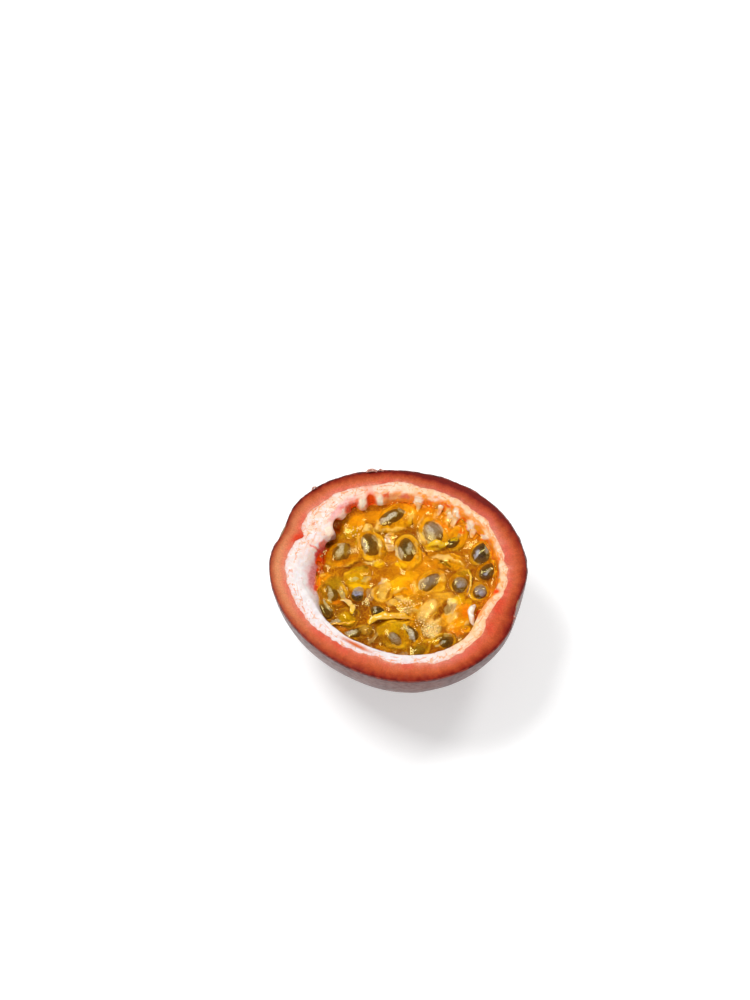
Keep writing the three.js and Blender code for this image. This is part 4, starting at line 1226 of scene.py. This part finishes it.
class Finish(Graph):
    """One material. Lengths are in millimetres and colours are screen values. A factor is a number,
    a mask, or the name of a value that the piece keeps for each of its points."""

    def __init__(self, name, **fixed):
        self.material = bpy.data.materials.new(name)
        self.material.use_nodes = True
        super().__init__(self.material.node_tree)
        self.shader = self.tree.nodes["Principled BSDF"]
        self.fix(**fixed)

    def fix(self, **fixed):
        for key, value in fixed.items():
            self.shader.inputs[key.replace("_", " ")].default_value = value

    def soften(self, weight, scale, radius=(1.0, 0.4, 0.2)):
        """Light that soaks into the flesh."""
        self.fix(Subsurface_Weight=weight, Subsurface_Scale=scale * MM, Subsurface_Radius=radius)

    def mask(self, tree, **sockets):
        made = self.tree.nodes.new("ShaderNodeGroup")
        made.node_tree = tree
        self.feed(made.inputs["Place"], self.node("TexCoord").outputs["Object"])
        for key, value in sockets.items():
            made.inputs[key].default_value = value * (MM if key in ("Size", "Spacing") else 1)
        return made.outputs["Mask"]

    def mottle(self, size, low, high, detail=3.0):
        return self.mask(MOTTLE, Size=size, Low=low, High=high, Detail=detail)

    def kept(self, name, socket="Fac"):
        """A value, or with Color a colour, that the piece keeps for each of its points."""
        return self.node("Attribute", attribute_name=name).outputs[socket]

    def product(self, *factors):
        return self.times(*(self.kept(part) if isinstance(part, str) else part for part in factors))

    def mix(self, factor, first, second, how="MIX"):
        made = self.node("Mix", data_type="RGBA", blend_type=how)
        for number, value in zip(MIX_SOCKETS, (factor, first, second)):
            self.feed(made.inputs[number], colour(*value) if isinstance(value, tuple) else value)
        return made.outputs[MIX_RESULT]

    def start(self, factor, first, second):
        """The first two colours of a finish."""
        self.base = self.mix(self.product(factor), first, second)

    def coat(self, shade, *factors):
        """Lays a shade over the colour so far, as far as the product of the factors says."""
        self.base = self.mix(self.product(*factors), self.base, shade)

    def ramp(self, factor, stops):
        """A colour that runs through stops, each a place from 0 to 1 and a colour."""
        made = self.node("ValToRGB", {0: factor})
        points = made.color_ramp.elements
        while len(points) < len(stops):
            points.new(0.5)
        for point, (at, shade) in zip(points, stops):
            point.position = at
            point.color = colour(*shade)
        return made.outputs["Color"]

    def rough(self, factor, low, high):
        made = self.node("MapRange", {"Value": factor, "To Min": low, "To Max": high})
        self.feed(self.shader.inputs["Roughness"], made.outputs["Result"])

    def relief(self, height, strength, depth):
        sockets = {"Height": height, "Strength": strength, "Distance": depth * MM}
        self.feed(self.shader.inputs["Normal"], self.node("Bump", sockets).outputs["Normal"])

    def done(self):
        self.feed(self.shader.inputs["Base Color"], self.base)
        return self.material


def skin_finish():
    skin = Finish("purple_skin", Roughness=0.4, Coat_Weight=0.12, Coat_Roughness=0.25)
    fine = skin.mottle(1.1, 0.3, 0.7)
    specks = skin.mask(SPECKS, Spacing=0.9, Spot=0.24, Share=0.5)
    skin.start(skin.mottle(7, 0.35, 0.66), (84, 30, 22), (108, 52, 38))
    skin.coat((72, 24, 22), fine, 0.3)
    skin.coat((176, 122, 104), specks, 0.4)
    skin.coat((84, 8, 4), "rim")
    skin.coat((150, 56, 34), "lip", fine)
    skin.coat((150, 116, 84), "scar")
    skin.rough(fine, 0.3, 0.46)
    skin.relief(skin.plus(fine, skin.times(specks, 0.6)), 0.25, 0.12)
    return skin.done()


# Colour of the wall at the cut, from its outside, at 0, to the pith, at 1.
WALL_COLOURS = (
    (0.0, (108, 14, 2)), (0.08, (136, 28, 5)), (0.25, (166, 58, 22)), (0.4, (185, 76, 34)),
    (0.55, (200, 91, 48)), (0.7, (210, 101, 62)), (0.86, (219, 112, 82)), (1.0, (230, 144, 114)),
)


def wall_finish():
    wall = Finish("red_wall", Roughness=0.45, Specular_IOR_Level=0.12)
    wall.soften(0.15, 0.3)
    streaks = wall.mask(STREAKS, Size=0.7)
    cloud = wall.mottle(4.2, 0.42, 0.6, 4.0)
    blotch = wall.mottle(1.5, 0.36, 0.66, 4.0)
    grains = wall.mottle(0.3, 0.4, 0.66)
    depth = wall.kept("depth")
    inner = wall.node("MapRange", {"Value": depth, "From Min": 0.35, "From Max": 0.8}).outputs["Result"]
    uneven = wall.times(wall.maths("SUBTRACT", blotch, 0.5), 0.12)
    darker = wall.product("dusk", wall.maths("SUBTRACT", 1.0, depth), -0.34)
    wall.base = wall.ramp(wall.plus(depth, uneven, darker, wall.product("light", 0.16)), WALL_COLOURS)
    wall.coat((220, 78, 60), cloud, inner, 0.5)
    wall.coat((136, 44, 36), "dusk", 0.2)
    wall.coat((224, 128, 112), "pink", 0.7)
    wall.coat((224, 158, 108), "pale")
    wall.coat((216, 62, 26), "rosy", wall.plus(0.4, wall.times(cloud, 0.4)), inner)
    grain = wall.plus(0.88, wall.times(wall.plus(grains, wall.times(streaks, 0.5)), 0.18))
    wall.base = wall.mix(1.0, wall.base, grain, "MULTIPLY")
    wall.rough(blotch, 0.36, 0.54)
    wall.relief(wall.times(wall.plus(grains, blotch), depth), 0.25, 0.10)
    return wall.done()


def pith_finish():
    pith = Finish("white_pith", Roughness=0.4, Specular_IOR_Level=0.3)
    pith.soften(0.15, 0.35)
    cloud = pith.mottle(1.6, 0.35, 0.68)
    fine = pith.mottle(0.45, 0.3, 0.7)
    foam = pith.mottle(0.8, 0.42, 0.58)
    veins = pith.mask(VEINS, Size=1.4, Width=0.11, Share=0.47)
    dashes = pith.mask(STREAKS, Size=0.5, Radial=1.0, Round=0.25, Low=0.6, High=0.64)
    hairs = pith.mask(STREAKS, Size=0.7, Radial=1.0, Round=3.4, Low=0.46, High=0.6)
    freckles = pith.mask(SPECKS, Spacing=1.0, Spot=0.2, Share=0.4)
    pith.start(cloud, (242, 236, 236), (234, 222, 220))
    pith.coat(pith.mix(cloud, (252, 220, 184), (250, 198, 146)), "cream")
    pith.coat((250, 208, 176), foam, "foam", 0.75)
    pith.coat((236, 140, 112), "fringe", pith.plus(0.2, pith.times(fine, 0.6)))
    pith.coat((226, 140, 136), "blush", 0.6)
    pith.coat(pith.mix(cloud, (255, 160, 30), (252, 124, 16)), "flush")
    pith.coat(pith.kept("paint", "Color"), "cover", pith.plus(0.85, pith.times(fine, 0.15)))
    pith.coat((176, 30, 30), hairs, "hairy", 0.7)
    pith.coat((238, 150, 62), veins, "border", 0.7)
    pith.coat((234, 126, 44), dashes, "border", 0.7)
    pith.coat((206, 84, 56), freckles, 0.8)
    pith.coat((214, 96, 2), "streak")
    pith.coat((255, 92, 16), "red")
    # Painted shade: a darker red deep in the pockets and torn spots, over their red stain.
    pith.coat((226, 56, 8), "deep")
    pith.rough(cloud, 0.3, 0.5)
    pores = pith.times(foam, pith.plus(0.3, pith.kept("foam")))
    pith.relief(pith.plus(cloud, pores, pith.times(fine, 0.5)), 0.3, 0.15)
    return pith.done()


def flesh_finish():
    flesh = Finish("pulp_flesh", Roughness=0.5, Specular_IOR_Level=0.05)
    flesh.soften(0.2, 0.4, (1.0, 0.5, 0.1))
    cloud = flesh.mottle(1.7, 0.4, 0.6)
    fibres = flesh.mottle(0.4, 0.42, 0.6, 4.0)
    threads = flesh.mask(VEINS, Size=1.3, Width=0.1, Share=0.52)
    bare = flesh.maths("SUBTRACT", 1.0, flesh.product("cover", 0.7))
    flesh.base = flesh.kept("flesh", "Color")
    flesh.coat((160, 92, 0), cloud, 0.6, bare)
    flesh.coat((250, 204, 30), fibres, 0.16)
    flesh.coat((252, 200, 40), threads, 0.35, bare)
    flesh.coat((246, 204, 70), "glow", 0.7, bare)
    # Painted shade in the creases between sacs and in the hollows.
    flesh.coat((116, 52, 0), "crease", 0.75, bare)
    flesh.relief(flesh.plus(cloud, fibres), 0.4, 0.2)
    return flesh.done()


def gel_finish():
    """Clear amber jelly, deeper in colour where it is thicker; lamps reach through it."""
    gel = Finish(
        "amber_gel", Roughness=0.04, IOR=1.4, Transmission_Weight=1.0, Specular_IOR_Level=0.28,
        Specular_Tint=(1.0, 0.88, 0.34, 1.0),
    )
    cloud = gel.mottle(2.4, 0.45, 0.75)
    gel.base = gel.kept("gel", "Color")
    gel.coat((254, 240, 180), cloud, 0.2)
    gel.rough(cloud, 0.08, 0.18)
    gel.relief(gel.mottle(2.2, 0.25, 0.75), 0.10, 0.15)
    clear = gel.node("BsdfTransparent", {"Color": colour(255, 252, 230)}).outputs[0]
    shadow_ray = gel.node("LightPath").outputs["Is Shadow Ray"]
    surface = gel.node("MixShader", {0: shadow_ray, 1: gel.shader.outputs[0], 2: clear})
    juice = gel.node("VolumeAbsorption", {"Color": JUICE_COLOUR, "Density": JUICE_DENSITY})
    out = gel.tree.nodes["Material Output"].inputs
    gel.feed(out["Surface"], surface.outputs[0])
    gel.feed(out["Volume"], juice.outputs[0])
    return gel.done()


def seed_finish():
    seed = Finish("black_seed", Roughness=0.45, Specular_IOR_Level=0.15)
    pits = seed.mottle(0.3, 0.46, 0.58)
    seed.start("shade", (34, 18, 12), (52, 30, 18))
    seed.coat((86, 58, 38), seed.mottle(1.6, 0.4, 0.62), 0.3)
    seed.coat((126, 92, 62), pits, 0.4)
    # Cloudy sac skin with a painted reflection of the softboxes, over the seed's top.
    seed.coat(seed.kept("film", "Color"), "cover", seed.maths("SUBTRACT", 1.0, seed.times(pits, 0.55)))
    seed.coat((160, 108, 8), "murk", 0.9)
    seed.rough(pits, 0.3, 0.55)
    seed.relief(pits, 0.5, 0.12)
    return seed.done()


def torn_finish():
    torn = Finish("torn_sac_skin", Roughness=0.15, Coat_Weight=0.8, Coat_Roughness=0.04)
    torn.soften(0.35, 0.6, (1.0, 0.6, 0.2))
    cloud = torn.mottle(0.9, 0.35, 0.65)
    torn.base = torn.kept("tint", "Color")
    torn.coat((222, 140, 20), cloud, 0.22)
    torn.rough(cloud, 0.1, 0.3)
    torn.relief(cloud, 0.3, 0.12)
    return torn.done()


def froth_finish():
    froth = Finish("froth", Roughness=0.45, Coat_Weight=0.15, Coat_Roughness=0.2)
    froth.soften(0.5, 0.5, (1.0, 0.7, 0.3))
    cloud = froth.mottle(0.8, 0.35, 0.65)
    froth.start(cloud, (252, 222, 160), (246, 198, 112))
    froth.rough(cloud, 0.35, 0.5)
    froth.relief(cloud, 0.2, 0.06)
    return froth.done()


def flake_finish():
    flake = Finish("dry_skin_flake", Roughness=0.6)
    cloud = flake.mottle(0.5, 0.35, 0.65)
    flake.start(cloud, (214, 160, 140), (150, 84, 74))
    flake.rough(cloud, 0.5, 0.7)
    flake.relief(cloud, 0.4, 0.08)
    return flake.done()


# ---- The fruit, its floor, lights and camera ------------------------------------------------

skin = make_skin(skin_finish())
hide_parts("shell")
wall = make_wall(wall_finish())
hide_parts("shell")
pith = make_pith(pith_finish())
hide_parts("pith")
flesh = make_core(flesh_finish())
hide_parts("pulp")
sacs = make_gel(gel_finish())
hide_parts("pulp")
make_seeds(seed_finish())
make_torn_skins(torn_finish())
make_froth(froth_finish())
make_flakes(flake_finish())

# The floor's side, and where the lamps point, in metres.
FLOOR_SIDE = 3.2
LAMP_AIM = (0, 0, 0.02)

# Softboxes: name, place and size in metres, watts.
SOFTBOXES = (
    ("left_softbox", (-0.30, 0.17, 0.66), (0.26, 0.24), 3.1),
    ("right_softbox", (0.30, 0.37, 0.56), (0.18, 0.24), 1.4),
    ("front_softbox", (0.05, -0.60, 0.42), (0.60, 0.30), 1.3),
)


def make_floor():
    mesh = bpy.data.meshes.new("floor")
    half = FLOOR_SIDE / 2
    corners = [(-half, -half, 0), (half, -half, 0), (half, half, 0), (-half, half, 0)]
    mesh.from_pydata(corners, [], [(0, 1, 2, 3)])
    finish = Finish(
        "pale_floor", Roughness=0.6, Base_Color=colour(236, 236, 236),
        Emission_Color=(1.0, 1.0, 1.0, 1.0), Emission_Strength=0.35,
    )
    mesh.materials.append(finish.material)
    floor = bpy.data.objects.new("floor", mesh)
    bpy.context.scene.collection.objects.link(floor)


def make_softbox(name, place, size, watts):
    light = bpy.data.lights.new(name, "AREA")
    light.shape = "RECTANGLE"
    light.size, light.size_y = size
    light.energy = watts
    lamp = bpy.data.objects.new(name, light)
    aim = Vector(LAMP_AIM) - Vector(place)
    lamp.rotation_euler = aim.to_track_quat("-Z", "Y").to_euler()
    lamp.location = place
    bpy.context.scene.collection.objects.link(lamp)


# The camera: the view's size and the middle of the cut face in it, in pixels, how wide the half
# looks there, its width in metres, and how steeply the camera looks down at it.
VIEW_SIZE = (750, 1000)
FACE_MIDDLE = (398, 575)
FACE_PIXELS, FACE_WIDTH = 259, 0.058
VIEW_PITCH = 64
LENS, SENSOR = 100.0, 36.0                # in millimetres


def make_camera():
    """Looks down at the cut face from the front; the face's middle sits right of and below centre."""
    focal = LENS / SENSOR * VIEW_SIZE[1]
    across, down = (place - size / 2 for place, size in zip(FACE_MIDDLE, VIEW_SIZE))
    distance = FACE_WIDTH * focal / FACE_PIXELS
    pitch = math.radians(VIEW_PITCH) - math.atan(down / focal)
    up = Vector((0, math.sin(pitch), math.cos(pitch)))
    back = Vector((0, -math.cos(pitch), math.sin(pitch)))
    right = Vector((1, 0, 0))
    middle = Vector((0, 0, CUT * MM))
    camera = bpy.data.cameras.new("camera")
    camera.lens = LENS
    camera.sensor_width = SENSOR
    camera.clip_start = 0.01
    eye = bpy.data.objects.new("camera", camera)
    eye.location = middle + (up * down - right * across) / focal * distance + back * distance
    eye.rotation_euler = (math.pi / 2 - pitch, 0, 0)
    bpy.context.scene.collection.objects.link(eye)
    bpy.context.scene.camera = eye


def make_world(level, backdrop):
    """Even room light of one level, with a backdrop of another to look at."""
    world = bpy.data.worlds.new("studio")
    world.use_nodes = True
    graph = Graph(world.node_tree)
    room = world.node_tree.nodes["Background"]
    room.inputs["Color"].default_value = (level, level, level, 1)
    paper = graph.node("Background", {"Color": (backdrop, backdrop, backdrop, 1)})
    looked_at = graph.node("LightPath").outputs["Is Camera Ray"]
    seen = graph.node("MixShader", {0: looked_at, 1: room.outputs[0], 2: paper.outputs[0]})
    graph.feed(world.node_tree.nodes["World Output"].inputs["Surface"], seen.outputs[0])
    bpy.context.scene.world = world


make_floor()
for softbox in SOFTBOXES:
    make_softbox(*softbox)
make_world(level=0.30, backdrop=0.88)
make_camera()
bpy.context.scene.view_settings.view_transform = "Standard"
